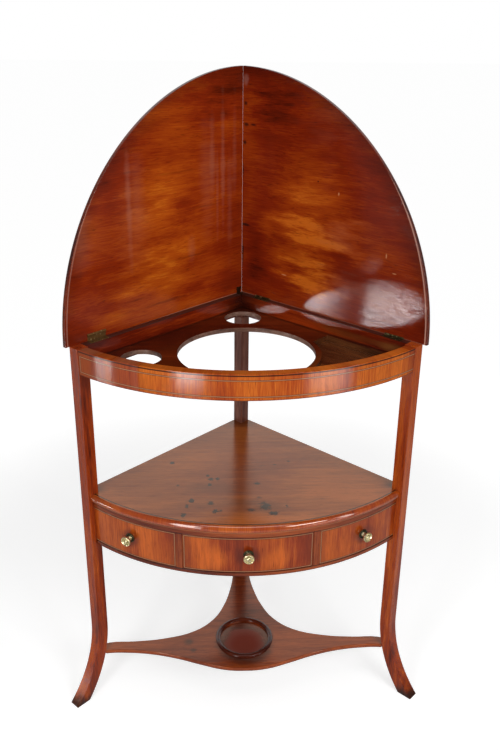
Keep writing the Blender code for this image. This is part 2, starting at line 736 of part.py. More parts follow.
def drawer(shop):
    """A bowed front on a plain lined box; the bottom slides in grooves of the sides."""
    slide = shop.frame("drawer_slide", 0, (0, -DRAWER_FRONT_BACK, DRAWER_FOOT), shop.corner)
    end = DRAWER_HALF_ANGLE
    bow = [(x, y + DRAWER_FRONT_BACK) for x, y in arc((0, 0), FRONT_RADIUS, -end, end)]
    back_x = DRAWER_FRONT_BACK * sin(end) / cos(end)
    outline = [*bow, (back_x, 0), (-back_x, 0)]
    mesh = plate_mesh("drawer_front", [outline], DRAWER_FRONT_HEIGHT)
    front = shop.add("drawer_front", mesh, shop.veneer, parent=slide)
    combine(front, spigot_hole(shop, "centre"), "DIFFERENCE")
    depth = DRAWER_FRONT_BACK - DRAWER_REAR_DISTANCE
    groove_foot = DRAWER_BOTTOM_LIFT - SEAT_GAP
    groove_head = DRAWER_BOTTOM_LIFT + DRAWER_BOTTOM_THICKNESS + SEAT_GAP
    side_inner = DRAWER_SIDE_X - DRAWER_SIDE_THICKNESS
    for hand, mirror in MIRROR.items():
        x_range = sorted((mirror * side_inner, mirror * DRAWER_SIDE_X))
        low = (x_range[0], SEAT_GAP, 0)
        high = (x_range[1], depth, DRAWER_SIDE_HEIGHT)
        side = shop.add("drawer_side_" + hand, box_mesh("drawer_side", low, high), shop.oak, parent=slide)
        groove_range = sorted((mirror * (side_inner - CUT_OVERRUN), mirror * (side_inner + GROOVE_DEPTH)))
        low = (groove_range[0], -CUT_OVERRUN, groove_foot)
        high = (groove_range[1], depth + CUT_OVERRUN, groove_head)
        groove = shop.add_cutter("groove_" + hand, box_mesh("groove", low, high), parent=slide)
        combine(side, groove, "DIFFERENCE")
    half = side_inner + GROOVE_DEPTH - SEAT_GAP
    low = (-half, SEAT_GAP, DRAWER_BOTTOM_LIFT)
    high = (half, depth, DRAWER_BOTTOM_LIFT + DRAWER_BOTTOM_THICKNESS)
    shop.add("drawer_bottom", box_mesh("drawer_bottom", low, high), shop.oak, parent=slide)
    half = side_inner - SEAT_GAP
    low = (-half, depth - DRAWER_BACK_THICKNESS, groove_head)
    high = (half, depth, DRAWER_SIDE_HEIGHT)
    shop.add("drawer_back", box_mesh("drawer_back", low, high), shop.oak, parent=slide)


# Knobs


def knob_place(hand):
    azimuth = MIRROR.get(hand, 0) * KNOB_AZIMUTH
    return (*plan_point(FRONT_RADIUS, azimuth), KNOB_HEIGHT), (radians(90), 0, azimuth)


def spigot_hole(shop, hand):
    """The blind hole that the knob's shank screws into."""
    shape = bmesh.new()
    radius = SPIGOT_DIAMETER / 2 + SEAT_GAP
    length = SPIGOT_LENGTH + RUNNING_GAP + CUT_OVERRUN
    middle = Matrix.Translation((0, 0, CUT_OVERRUN - length / 2))
    bmesh.ops.create_cone(
        shape, cap_ends=True, segments=KNUCKLE_STEPS, radius1=radius, radius2=radius, depth=length, matrix=middle
    )
    place, turn = knob_place(hand)
    return shop.add_cutter("spigot_hole_" + hand, mesh_from(shape, "spigot_hole"), place, turn=turn)


def knob_profile():
    """From the middle of the face, over the head, down the neck and along the shank."""
    head = KNOB_DIAMETER / 2
    neck = KNOB_NECK_DIAMETER / 2
    shank = SPIGOT_DIAMETER / 2
    bead = KNOB_BEAD_DIAMETER / 2
    top = KNOB_PROJECTION
    crown = KNOB_HEAD_DEPTH / 2
    seat = ROSE_THICKNESS + SEAT_GAP
    quarter = pi / 2
    rim = [
        (head - crown * (1 - cos(quarter * step / 3)), top - crown + crown * sin(quarter * step / 3))
        for step in range(3, -4, -1)
    ]
    return [
        (0, top + crown * KNOB_DOME_SHARE),
        (bead * BEAD_INNER_SHARE, top + crown * KNOB_DIMPLE_SHARE),
        (bead, top - crown * KNOB_DIMPLE_SHARE),
        *rim,
        (neck, top - KNOB_HEAD_DEPTH - crown * KNOB_DOME_SHARE),
        (neck, seat + crown * KNOB_FLARE_SHARE),
        (neck + crown * KNOB_DOME_SHARE, seat),
        (shank, seat),
        (shank, -SPIGOT_LENGTH),
        (0, -SPIGOT_LENGTH),
    ]


def rose_profile():
    """A shallow stepped washer."""
    edge = ROSE_DIAMETER / 2
    bore = SPIGOT_DIAMETER / 2 + SEAT_GAP
    step = ROSE_THICKNESS * ROSE_STEP_SHARE
    return [
        (bore, ROSE_THICKNESS),
        (edge - ROSE_THICKNESS, ROSE_THICKNESS),
        (edge - step, step),
        (edge, step * ROSE_STEP_SHARE),
        (edge, SEAT_GAP),
        (bore, SEAT_GAP),
    ]


def knobs(shop):
    for hand in ("left", "centre", "right"):
        place, turn = knob_place(hand)
        shop.add("rose_" + hand, turned_mesh("rose", rose_profile()), shop.brass, place, turn=turn)
        shop.add("knob_" + hand, turned_mesh("knob", knob_profile()), shop.brass, place, turn=turn)


# Undertier


def undertier_outline():
    """Three arms that spread into one belly; each arm ends square to the leg or post that it meets."""
    sweep = swept_side(LEG_START)
    level = next(point for point in sweep if point[1] <= UNDERTIER_HEIGHT)
    before = sweep[sweep.index(level) - 1]
    share = (before[1] - UNDERTIER_HEIGHT) / (before[1] - level[1])
    arm_s = before[0] + share * (level[0] - before[0]) - SEAT_GAP
    half_span = (arm_s + SEAT_GAP) * DIAGONAL_SHARE
    post_side = LEG_SECTION + SEAT_GAP
    back = [((x * half_span, -y * UNDERTIER_REACH), "AUTO") for x, y in UNDERTIER_BACK_SHARES]
    front = [((x * half_span, -y * UNDERTIER_REACH), "AUTO") for x, y in UNDERTIER_FRONT_SHARES]
    arm_end = [(wall_point("right", arm_s, t), "VECTOR") for t in (0, LEG_SECTION)]
    post_end = [(wall_point("right", post_side, t), "VECTOR") for t in (post_side, 0)]
    right = [*post_end, *back, *arm_end, *front]
    left = [((-x, y), kind) for (x, y), kind in reversed(right[1:-1])]
    return right + left


def undertier(shop):
    mesh = plate_mesh("undertier", [], UNDERTIER_THICKNESS, [undertier_outline()])
    shelf = shop.add("undertier", mesh, shop.wood, (0, 0, UNDERTIER_FOOT))
    shape = bmesh.new()
    radius = DISH_DIAMETER / 2
    depth = DISH_DEPTH + CUT_OVERRUN
    bmesh.ops.create_cone(
        shape, cap_ends=True, segments=HOLE_STEPS, radius1=radius, radius2=radius, depth=depth
    )
    place = (0, -RING_DISTANCE, UNDERTIER_HEIGHT - DISH_DEPTH + depth / 2)
    dish = shop.add_cutter("dish", mesh_from(shape, "dish"), place)
    round_edges(shelf, UNDERTIER_ROUNDING, 2)
    combine(shelf, dish, "DIFFERENCE")
    middle = DISH_DIAMETER / 2 + RING_WIDTH / 2
    steps = 6
    bead = [
        (middle + RING_WIDTH / 2 * cos(pi * step / steps), RING_HEIGHT * sin(pi * step / steps))
        for step in range(steps, -1, -1)
    ]
    shop.add(
        "undertier_ring",
        turned_mesh("undertier_ring", bead),
        shop.wood,
        (0, -RING_DISTANCE, UNDERTIER_HEIGHT + SEAT_GAP),
    )


# Lid and hinges


HINGES = {
    "right": (("inner", HINGE_CORNER_DISTANCE, HINGE_LENGTH), ("outer", HINGE_OUTER_S, HINGE_LENGTH)),
    "left": (("corner", CORNER_HINGE_S, CORNER_HINGE_LENGTH), ("outer", HINGE_OUTER_S, HINGE_LENGTH)),
}


def hinge_seats(shop, hand):
    """Recesses in the gallery's top for the fixed plates, and for the knuckles of the right hinges."""
    seats = []
    wall = shop.walls[hand]
    head = RIM_HEIGHT + CUT_OVERRUN
    seat_foot = RIM_HEIGHT - PLATE_THICKNESS - PLATE_SEAT_CLEAR
    for place, middle, length in HINGES[hand]:
        half = length / 2 + SEAT_GAP
        s_range = (middle - half, middle + half)
        name = f"{hand}_{place}_seat"
        t_range = (LEAF_FACE_T - SEAT_GAP, GALLERY_THICKNESS + CUT_OVERRUN)
        mesh = wall_box(hand, name, s_range, t_range, (seat_foot, head))
        seats.append(shop.add_cutter(name, mesh, parent=wall))
        if hand == "right":
            name = f"{hand}_{place}_knuckle_seat"
            t_range = (-CUT_OVERRUN, LEAF_FACE_T + KNUCKLE_CLEAR)
            heights = (PIN_HEIGHT[hand] - KNUCKLE_CLEAR, head)
            mesh = wall_box(hand, name, s_range, t_range, heights)
            seats.append(shop.add_cutter(name, mesh, parent=wall))
    return seats


def leaf_cuts(shop, hand, pivot):
    """Recesses for the knuckles and moving plates, in the leaf's own frame on its pin line."""
    cuts = []
    for place, middle, length in HINGES[hand]:
        half = length / 2 + SEAT_GAP
        s_range = (middle - half, middle + half)
        name = f"{hand}_{place}_groove"
        mesh = wall_box(
            hand, name, s_range, (-KNUCKLE_CLEAR, CUT_OVERRUN), (-KNUCKLE_CLEAR, KNUCKLE_CLEAR)
        )
        cuts.append(shop.add_cutter(name, mesh, parent=pivot))
        name = f"{hand}_{place}_plate_bed"
        reach = PLATE_WIDTH + SEAT_GAP
        heights = (0, reach) if hand == "right" else (-reach, 0)
        depth = PLATE_THICKNESS + SEAT_GAP
        mesh = wall_box(hand, name, s_range, (-depth, CUT_OVERRUN), heights)
        cuts.append(shop.add_cutter(name, mesh, parent=pivot))
    return cuts


def notch_cuts(shop, pivot):
    """Notches in the right leaf's upright edge, which clear the left hinges when the leaf lies closed."""
    cuts = []
    depth = LEAF_FACE_T + KNUCKLE_CLEAR + RUNNING_GAP
    knuckle_top = LEFT_PIN_HEIGHT + KNUCKLE_RADIUS - RIM_CLEAR
    for place, middle, length in HINGES["left"]:
        near = middle - length / 2 - LEAF_FACE_T - NOTCH_CLEAR
        far = hypot(middle + length / 2 - LEAF_FACE_T, knuckle_top) + NOTCH_CLEAR
        if place == "corner":
            near = -CUT_OVERRUN
        name = f"right_notch_{place}"
        t_range = (-LEAF_THICKNESS - CUT_OVERRUN, CUT_OVERRUN)
        mesh = wall_box("right", name, (-CUT_OVERRUN, depth), t_range, (near, far))
        cuts.append(shop.add_cutter(name, mesh, parent=pivot))
    return cuts


def round_leaf(mesh, hand):
    """Round the outer edge of the leaf's back, which lies uppermost when the lid is closed."""
    shape = bmesh.new()
    shape.from_mesh(mesh)
    centre_height = RIM_CLEAR - PIN_HEIGHT[hand]
    for depth, width, segments in ((-LEAF_THICKNESS, LEAF_ROUNDING, 3), (0, LEAF_ARRIS, 1)):
        level = INWARD[hand] * depth
        edges = []
        for edge in shape.edges:
            ends = [vert.co for vert in edge.verts]
            on_arc = all(abs(hypot(co.x, co.z - centre_height) - LEAF_RADIUS) < WELD_DISTANCE for co in ends)
            if on_arc and all(abs(co.y - level) < WELD_DISTANCE for co in ends):
                edges.append(edge)
        bmesh.ops.bevel(
            shape, geom=edges, offset=width, segments=segments, profile=0.5, affect="EDGES", clamp_overlap=True
        )
    bmesh.ops.recalc_face_normals(shape, faces=shape.faces[:])
    shape.to_mesh(mesh)
    shape.free()


def leaf(shop, hand):
    """A quadrant leaf, its origin on the pin line and its face towards the room."""
    pin_height = PIN_HEIGHT[hand]
    foot = RIM_CLEAR - pin_height
    start = LEAF_START[hand]
    first = asin(start / LEAF_RADIUS)
    curve = [(x, -y + foot) for x, y in arc((0, 0), LEAF_RADIUS, first, pi / 2)]
    outline = [(start, foot), *curve]
    mesh = upright(plate_mesh("leaf", [outline], LEAF_THICKNESS), hand)
    round_leaf(mesh, hand)
    place = (0, INWARD[hand] * LEAF_FACE_T, pin_height)
    panel = shop.add("leaf_" + hand, mesh, shop.veneer, place, shop.walls[hand])
    pivot = shop.frame("pin_line_" + hand, 0, place, shop.walls[hand])
    cuts = leaf_cuts(shop, hand, pivot)
    if hand == "right":
        cuts += notch_cuts(shop, pivot)
    for cut in cuts:
        combine(panel, cut, "DIFFERENCE")
    return pivot


def knuckle_mesh(start, end):
    """One tube of a hinge's barrel, along the pin."""
    tube = plate_mesh(
        "knuckle",
        [circle((0, 0), KNUCKLE_RADIUS, KNUCKLE_STEPS), circle((0, 0), HOLE_RADIUS, KNUCKLE_STEPS)],
        end - start,
    )
    shape = bmesh.new()
    shape.from_mesh(tube)
    bpy.data.meshes.remove(tube)
    turn = Matrix.Translation((start, 0, 0)) @ Matrix.Rotation(radians(90), 4, "Y")
    bmesh.ops.transform(shape, verts=shape.verts, matrix=turn)
    return mesh_from(shape, "knuckle")


def hinge_half(shop, hand, name, pivot, middle, length, moving):
    """A plate with its knuckles: two outer ones on the fixed half, the middle one on the moving half."""
    third = length / 3
    gap = KNUCKLE_GAP / 2
    low_s = middle - length / 2
    thirds = [(low_s + third * number + gap, low_s + third * (number + 1) - gap) for number in range(3)]
    thirds[0] = (low_s, thirds[0][1])
    thirds[2] = (thirds[2][0], low_s + length)
    own = [thirds[1]] if moving else [thirds[0], thirds[2]]
    clear = KNUCKLE_RADIUS + KNUCKLE_GAP
    tongue = clear + SEAT_GAP
    s_range = (low_s, low_s + length)
    raised = hand == "left"
    face = RUNNING_GAP
    if moving:
        t_range = (-PLATE_THICKNESS, -PLATE_FACE_CLEAR)
        plate_z = (-PLATE_WIDTH + PLATE_EDGE_CLEAR, -clear) if raised else (clear, PLATE_WIDTH)
        tongue_z = (-tongue, 0) if raised else (0, tongue)
        boxes = [(s_range, t_range, plate_z)]
        boxes += [(span, t_range, tongue_z) for span in own]
    elif raised:
        rim = RIM_HEIGHT - LEFT_PIN_HEIGHT
        foot_z = (rim - PLATE_THICKNESS - SEAT_GAP, rim - SEAT_GAP)
        post_t = (face, face + PLATE_THICKNESS)
        foot_t = (face, GALLERY_THICKNESS - LEAF_FACE_T - SEAT_GAP)
        boxes = [(s_range, foot_t, foot_z), (s_range, post_t, (foot_z[0], -clear))]
        boxes += [(span, post_t, (-tongue, 0)) for span in own]
    else:
        rim = RIM_HEIGHT - RIM_CLEAR
        plate_z = (rim - PLATE_THICKNESS - SEAT_GAP, rim - SEAT_GAP)
        reach = GALLERY_THICKNESS - LEAF_FACE_T - SEAT_GAP
        boxes = [(s_range, (clear, reach), plate_z)]
        boxes += [(span, (0, tongue), plate_z) for span in own]
    first = wall_box(hand, name, *boxes[0])
    half = shop.add(name, first, shop.brass, pivot.location, shop.walls[hand])
    for number, spans in enumerate(boxes[1:]):
        piece = shop.add_cutter(f"{name}_box_{number}", wall_box(hand, name, *spans), parent=pivot)
        combine(half, piece, "UNION")
    for number, span in enumerate(own):
        piece = shop.add_cutter(f"{name}_knuckle_{number}", knuckle_mesh(*span), parent=pivot)
        combine(half, piece, "UNION")
    bore_mesh = pin_mesh(low_s - CUT_OVERRUN, length + 2 * CUT_OVERRUN, HOLE_RADIUS)
    bore = shop.add_cutter(f"{name}_bore", bore_mesh, parent=pivot)
    combine(half, bore, "DIFFERENCE")


def pin_mesh(start, length, radius):
    shape = bmesh.new()
    turn = Matrix.Translation((start + length / 2, 0, 0)) @ Matrix.Rotation(radians(90), 4, "Y")
    bmesh.ops.create_cone(
        shape, cap_ends=True, segments=KNUCKLE_STEPS, radius1=radius, radius2=radius, depth=length, matrix=turn
    )
    return mesh_from(shape, "pin")


def hinges(shop, hand, pivot):
    for place, middle, length in HINGES[hand]:
        stem = f"{hand}_{place}_hinge"
        hinge_half(shop, hand, stem + "_fixed", pivot, middle, length, False)
        hinge_half(shop, hand, stem + "_moving", pivot, middle, length, True)
        mesh = pin_mesh(middle - length / 2, length, PIN_RADIUS)
        shop.add(stem + "_pin", mesh, shop.brass, pivot.location, shop.walls[hand])


def main():
    clear_scene()
    shop = Workshop()
    back_post(shop)
    front_leg(shop, "left")
    front_leg(shop, "right")
    top_frame(shop)
    middle_shelf(shop)
    tier_sides(shop)
    tier_front(shop)
    drawer_runners(shop)
    drawer(shop)
    knobs(shop)
    undertier(shop)
    for hand in INWARD:
        pivot = leaf(shop, hand)
        hinges(shop, hand, pivot)


main()
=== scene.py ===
"""Corner washstand of red mahogany with brass hinges and knobs, its folding lid open against the wall."""

from math import asin, cos, hypot, pi, radians, sin, sqrt

import bpy
from mathutils import Matrix, Vector


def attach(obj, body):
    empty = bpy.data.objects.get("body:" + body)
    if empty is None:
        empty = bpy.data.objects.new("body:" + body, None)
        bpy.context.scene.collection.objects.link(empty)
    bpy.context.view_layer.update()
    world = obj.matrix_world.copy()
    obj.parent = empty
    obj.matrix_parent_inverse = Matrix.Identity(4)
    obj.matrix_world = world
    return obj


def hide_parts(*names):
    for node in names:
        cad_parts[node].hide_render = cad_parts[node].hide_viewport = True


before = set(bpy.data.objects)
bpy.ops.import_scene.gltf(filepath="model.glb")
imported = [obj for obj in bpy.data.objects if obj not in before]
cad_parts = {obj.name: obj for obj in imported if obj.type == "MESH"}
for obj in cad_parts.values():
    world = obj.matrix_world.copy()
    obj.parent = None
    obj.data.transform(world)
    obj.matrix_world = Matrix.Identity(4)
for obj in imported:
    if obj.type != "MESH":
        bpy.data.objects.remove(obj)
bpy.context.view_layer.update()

# Places and sizes of the stand, in metres
CORNER_Y = 0.024 * sqrt(0.5)
SIDE = 0.457
RIM = 0.795
LEG = 0.024
FRIEZE_FOOT = 0.746
FRIEZE_INNER = 0.437
BOARD_TOP = 0.7635
BOARD_FOOT = 0.7545
BASIN_RADIUS = 0.131
BASIN_CENTRE = (0, CORNER_Y - 0.276)
CUP_RADIUS = 0.0385
BACK_CUP = (0, CORNER_Y - 0.084)
LEFT_CUP = (0.352, 0.0735)
BOARD_START = 0.0128
TRAY_RADIUS = 0.424
TRAY_BASIN_RADIUS = 0.142
TRAY_WALL = 0.018
TRAY_START = 0.2525
SEAT_GAP = 0.0003
SHELF_TOP = 0.489
SHELF_FOOT = 0.477
SHELF_RADIUS = 0.453
NOSING_START = 0.4444
TIER_RADIUS = 0.447
TIER_INNER = 0.430
TIER_HEAD = 0.4767
TIER_FOOT = 0.3765
OPENING_HEAD = 0.4622
OPENING_FOOT = 0.3843
FRONT_RADIUS = 0.4462
STILE_AZIMUTH = radians(16.85)
STILE_HALF = radians(0.737)
LEG_T = 0.0243
RAIL_END = 0.4327
UNDERTIER_TOP = 0.100
UNDERTIER_THICKNESS = 0.009
RING_Y = -0.298
SWEEP_HEIGHT = 0.170
SWEEP_CENTRE = 0.706
SWEEP_RADIUS = 0.249
LEAF_RADIUS = 0.466
LEAF_THICKNESS = 0.010
LEAF_FACE = 0.002
LEAF_FOOT = 0.7952
LEAF_START = 0.0021
OUTER_HINGE = 0.3965
INNER_HINGE = 0.0645
LEFT_HINGES = {"corner": (0.006, 0.018), "outer": (0.3755, 0.4175)}
BED_T, BED_HEIGHT = (0.0006, 0.01), (0.79, 0.8045)
WEB_T, WEB_HEIGHT = (0.0007, 0.0020), (0.7946, 0.8042)
WEB_CUT_T, WEB_CUT_HEIGHT = (0.0021, 0.01), (0.7948, 0.8034)
REBATE_S, REBATE_T = (-0.01, 0.0049), (-0.02, -0.0053)
REBATE_HEIGHTS = ((0.79, 0.8172), (1.1685, 1.2122))
SCREW_STEPS = (-0.0145, 0.0, 0.0145)
KNOB_AZIMUTH = radians(30.2)
KNOB_HEIGHT = 0.42545
WALL_ANGLE = {"left": radians(-135), "right": radians(-45)}
SIDES = {"left": -1, "right": 1}


# Working by hand: picking, cutting and easing

EASED_ANGLE = radians(35)
SMOOTH_ANGLE = radians(32)
MERGE = 0.00001


def pick(*objs):
    """Make these objects, and no others, the ones that the next operator works on."""
    bpy.ops.object.select_all(action="DESELECT")
    for obj in objs:
        obj.select_set(True)
    bpy.context.view_layer.objects.active = objs[0]


def named(name):
    """Give the object just made its name."""
    obj = bpy.context.object
    obj.name = obj.data.name = name
    return obj


def settle(obj):
    """Move the object's place into its mesh."""
    pick(obj)
    bpy.ops.object.transform_apply(location=True, rotation=True, scale=True)
    return obj


def plan(radius, azimuth):
    """A point round the wall corner: azimuth 0 is the middle of the bow."""
    return radius * sin(azimuth), CORNER_Y - radius * cos(azimuth)


def by_wall(hand, s, t):
    """A point s along one wall from the corner and t into the room."""
    return SIDES[hand] * (s - t) * sqrt(0.5), CORNER_Y - (s + t) * sqrt(0.5)


def into_room(hand):
    """The direction from one wall into the room."""
    return Vector((-SIDES[hand], -1, 0)).normalized()


def along_wall(hand):
    """The direction from the corner along one wall."""
    return Vector((SIDES[hand], -1, 0)).normalized()


def disc(name, radius, foot, head, centre=(0, CORNER_Y), vertices=288):
    """An upright cylinder between two levels."""
    bpy.ops.object.select_all(action="DESELECT")
    middle = (*centre, (foot + head) / 2)
    bpy.ops.mesh.primitive_cylinder_add(vertices=vertices, radius=radius, depth=head - foot, location=middle)
    return settle(named(name))


def wall_block(name, hand, s_range, t_range, z_range):
    """A block squared to one wall."""
    bpy.ops.object.select_all(action="DESELECT")
    s = sum(s_range) / 2
    t = sum(t_range) / 2
    middle = (*by_wall(hand, s, t), sum(z_range) / 2)
    bpy.ops.mesh.primitive_cube_add(size=1, location=middle, rotation=(0, 0, WALL_ANGLE[hand]))
    obj = named(name)
    obj.scale = (s_range[1] - s_range[0], t_range[1] - t_range[0], z_range[1] - z_range[0])
    return settle(obj)


def saw(obj, point, normal):
    """Cut off everything on the side that the normal points to, and close the cut."""
    pick(obj)
    bpy.ops.object.mode_set(mode="EDIT")
    bpy.ops.mesh.select_all(action="SELECT")
    bpy.ops.mesh.bisect(plane_co=point, plane_no=normal, clear_outer=True, use_fill=True)
    bpy.ops.object.mode_set(mode="OBJECT")
    return obj


def saw_by_wall(obj, hand, t):
    """Keep what lies further than t from one wall plane."""
    return saw(obj, (*by_wall(hand, 0, t), 0), -into_room(hand))


def saw_radially(obj, azimuth, keep_left):
    """Cut along a plane through the corner's axis, keeping the side with the smaller or greater azimuth."""
    across = Vector((cos(azimuth), sin(azimuth), 0))
    return saw(obj, (0, CORNER_Y, 0), across if keep_left else -across)


def carve(obj, *cutters):
    """Cut each cutter out of a piece, and drop the cutter."""
    for cutter in cutters:
        pick(obj)
        cut = obj.modifiers.new("cut", "BOOLEAN")
        cut.operation = "DIFFERENCE"
        cut.solver = "EXACT"
        cut.object = cutter
        bpy.ops.object.modifier_apply(modifier=cut.name)
        bpy.data.objects.remove(cutter)
    return obj


def ease(obj, width):
    """Round every sharp edge a little."""
    pick(obj)
    soften = obj.modifiers.new("eased", "BEVEL")
    soften.width = width
    soften.segments = 2
    soften.limit_method = "ANGLE"
    soften.angle_limit = EASED_ANGLE
    soften.harden_normals = False
    bpy.ops.object.modifier_apply(modifier=soften.name)
    return obj


def mould(obj, chosen, width, segments):
    """Bevel the edges whose two ends both satisfy the test."""
    pick(obj)
    bpy.ops.object.mode_set(mode="EDIT")
    bpy.ops.mesh.select_mode(type="EDGE")
    bpy.ops.mesh.select_all(action="DESELECT")
    bpy.ops.object.mode_set(mode="OBJECT")
    points = obj.data.vertices
    for edge in obj.data.edges:
        edge.select = all(chosen(points[number].co) for number in edge.vertices)
    bpy.ops.object.mode_set(mode="EDIT")
    bpy.ops.mesh.bevel(offset=width, segments=segments, profile=0.5, affect="EDGES", clamp_overlap=True)
    bpy.ops.object.mode_set(mode="OBJECT")
    return obj


def polish(obj):
    """Smooth the rounded edges, and keep the large faces flat in what they mirror."""
    pick(obj)
    bpy.ops.object.shade_smooth_by_angle(angle=SMOOTH_ANGLE)
    flatten = obj.modifiers.new("flat_faces", "WEIGHTED_NORMAL")
    flatten.weight = 90
    flatten.keep_sharp = True
    bpy.ops.object.modifier_apply(modifier=flatten.name)
    return obj


def hand_in(obj, body, slot, finish, *stands_for):
    """Give a finished piece its body, its finish and the solids that it stands for."""
    polish(obj)
    obj.data.materials.clear()
    obj.data.materials.append(finish)
    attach(obj, body)
    if stands_for:
        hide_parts(*stands_for)
    return obj


def eased_copy(node, body, slot, finish, width, *cutters):
    """A merged copy of a plain solid, cut where asked, with its edges eased."""
    source = bpy.data.objects[node]
    pick(source)
    bpy.ops.object.duplicate()
    obj = named(node + "_eased")
    obj.data.materials.clear()
    bpy.ops.object.mode_set(mode="EDIT")
    bpy.ops.mesh.select_all(action="SELECT")
    bpy.ops.mesh.remove_doubles(threshold=0.00002)
    bpy.ops.mesh.dissolve_limited(angle_limit=radians(0.5))
    bpy.ops.object.mode_set(mode="OBJECT")
    carve(obj, *cutters)
    if width:
        ease(obj, width)
    return hand_in(obj, body, slot, finish, node)


# Finishes


def node(tree, kind, place, **values):
    """A new node at its place in the editor, with its settings."""
    made = tree.nodes.new(kind)
    made.location = place
    for key, value in values.items():
        setattr(made, key, value)
    return made


def ramp(tree, place, stops):
    """A colour ramp with these (position, colour) stops."""
    made = node(tree, "ShaderNodeValToRGB", place)
    band = made.color_ramp
    band.elements[0].position, band.elements[0].color = stops[0][0], (*stops[0][1], 1)
    band.elements[1].position, band.elements[1].color = stops[-1][0], (*stops[-1][1], 1)
    for position, colour in stops[1:-1]:
        band.elements.new(position).color = (*colour, 1)
    return made


def feed(tree, socket, value):
    """Give a socket another socket's output, a number, or a colour or vector."""
    if isinstance(value, (int, float)):
        socket.default_value = value
    elif isinstance(value, tuple):
        socket.default_value = (*value, 1) if socket.type == "RGBA" else value
    else:
        tree.links.new(value, socket)


def new_material(name):
    """A material, its node tree and its shader."""
    made = bpy.data.materials.new(name)
    made.use_nodes = True
    return made, made.node_tree, made.node_tree.nodes["Principled BSDF"]


def placed_group(tree, place, group, **values):
    """A node group set in a tree, with its inputs fed by name."""
    made = node(tree, "ShaderNodeGroup", place, node_tree=group)
    for label, value in values.items():
        feed(tree, made.inputs[label], value)
    return made


def dent(tree, place, shader, height, strength, distance):
    """Let a height bump the shader's surface."""
    made = node(tree, "ShaderNodeBump", place)
    for label, value in (("Strength", strength), ("Distance", distance), ("Height", height)):
        feed(tree, made.inputs[label], value)
    tree.links.new(made.outputs["Normal"], shader.inputs["Normal"])


def vectors(tree, kind, place, *values):
    """A sum, share or length of vectors."""
    made = node(tree, "ShaderNodeVectorMath", place, operation=kind)
    for socket, value in zip(made.inputs, values):
        feed(tree, socket, value)
    return made.outputs["Value" if kind == "LENGTH" else "Vector"]


def sums(tree, kind, place, *values, clamp=False):
    """A sum or other operation on numbers."""
    made = node(tree, "ShaderNodeMath", place, operation=kind, use_clamp=clamp)
    for socket, value in zip(made.inputs, values):
        feed(tree, socket, value)
    return made.outputs[0]


def spread(tree, place, value, low, high, first=0.0, last=1.0):
    """Read a value between two levels as a share, softened at both ends."""
    made = node(tree, "ShaderNodeMapRange", place, interpolation_type="SMOOTHSTEP")
    feed(tree, made.inputs["Value"], value)
    for name, level in (("From Min", low), ("From Max", high), ("To Min", first), ("To Max", last)):
        feed(tree, made.inputs[name], level)
    return made.outputs[0]


def mix(tree, place, factor, first, second):
    """A colour mix; each input is a socket, a number or a colour."""
    made = node(tree, "ShaderNodeMix", place, data_type="RGBA")
    for socket, value in ((made.inputs["Factor"], factor), (made.inputs[6], first), (made.inputs[7], second)):
        feed(tree, socket, value)
    return made.outputs[2]


def noise(tree, place, vector, scale, detail, roughness=0.5):
    """Noise stretched along X: scale gives its turns to the metre along and across the grain."""
    stretch = node(tree, "ShaderNodeMapping", (place[0] - 200, place[1]))
    stretch.inputs["Scale"].default_value = (scale[0], scale[1], scale[1])
    feed(tree, stretch.inputs["Vector"], vector)
    made = node(tree, "ShaderNodeTexNoise", place)
    made.inputs["Scale"].default_value = 1.0
    made.inputs["Detail"].default_value = detail
    made.inputs["Roughness"].default_value = roughness
    tree.links.new(stretch.outputs[0], made.inputs["Vector"])
    return made


def group_of(name, inputs, outputs):
    """An empty node group with its sockets; a tuple as an input's value makes it a vector."""
    group = bpy.data.node_groups.new(name, "ShaderNodeTree")
    for label, value in inputs:
        kind = "NodeSocketVector" if isinstance(value, tuple) else "NodeSocketFloat"
        group.interface.new_socket(label, in_out="INPUT", socket_type=kind).default_value = value
    for label, kind in outputs:
        group.interface.new_socket(label, in_out="OUTPUT", socket_type=kind)
    return group, node(group, "NodeGroupInput", (-1400, 0)), node(group, "NodeGroupOutput", (1000, 0))


FLOAT = "NodeSocketFloat"


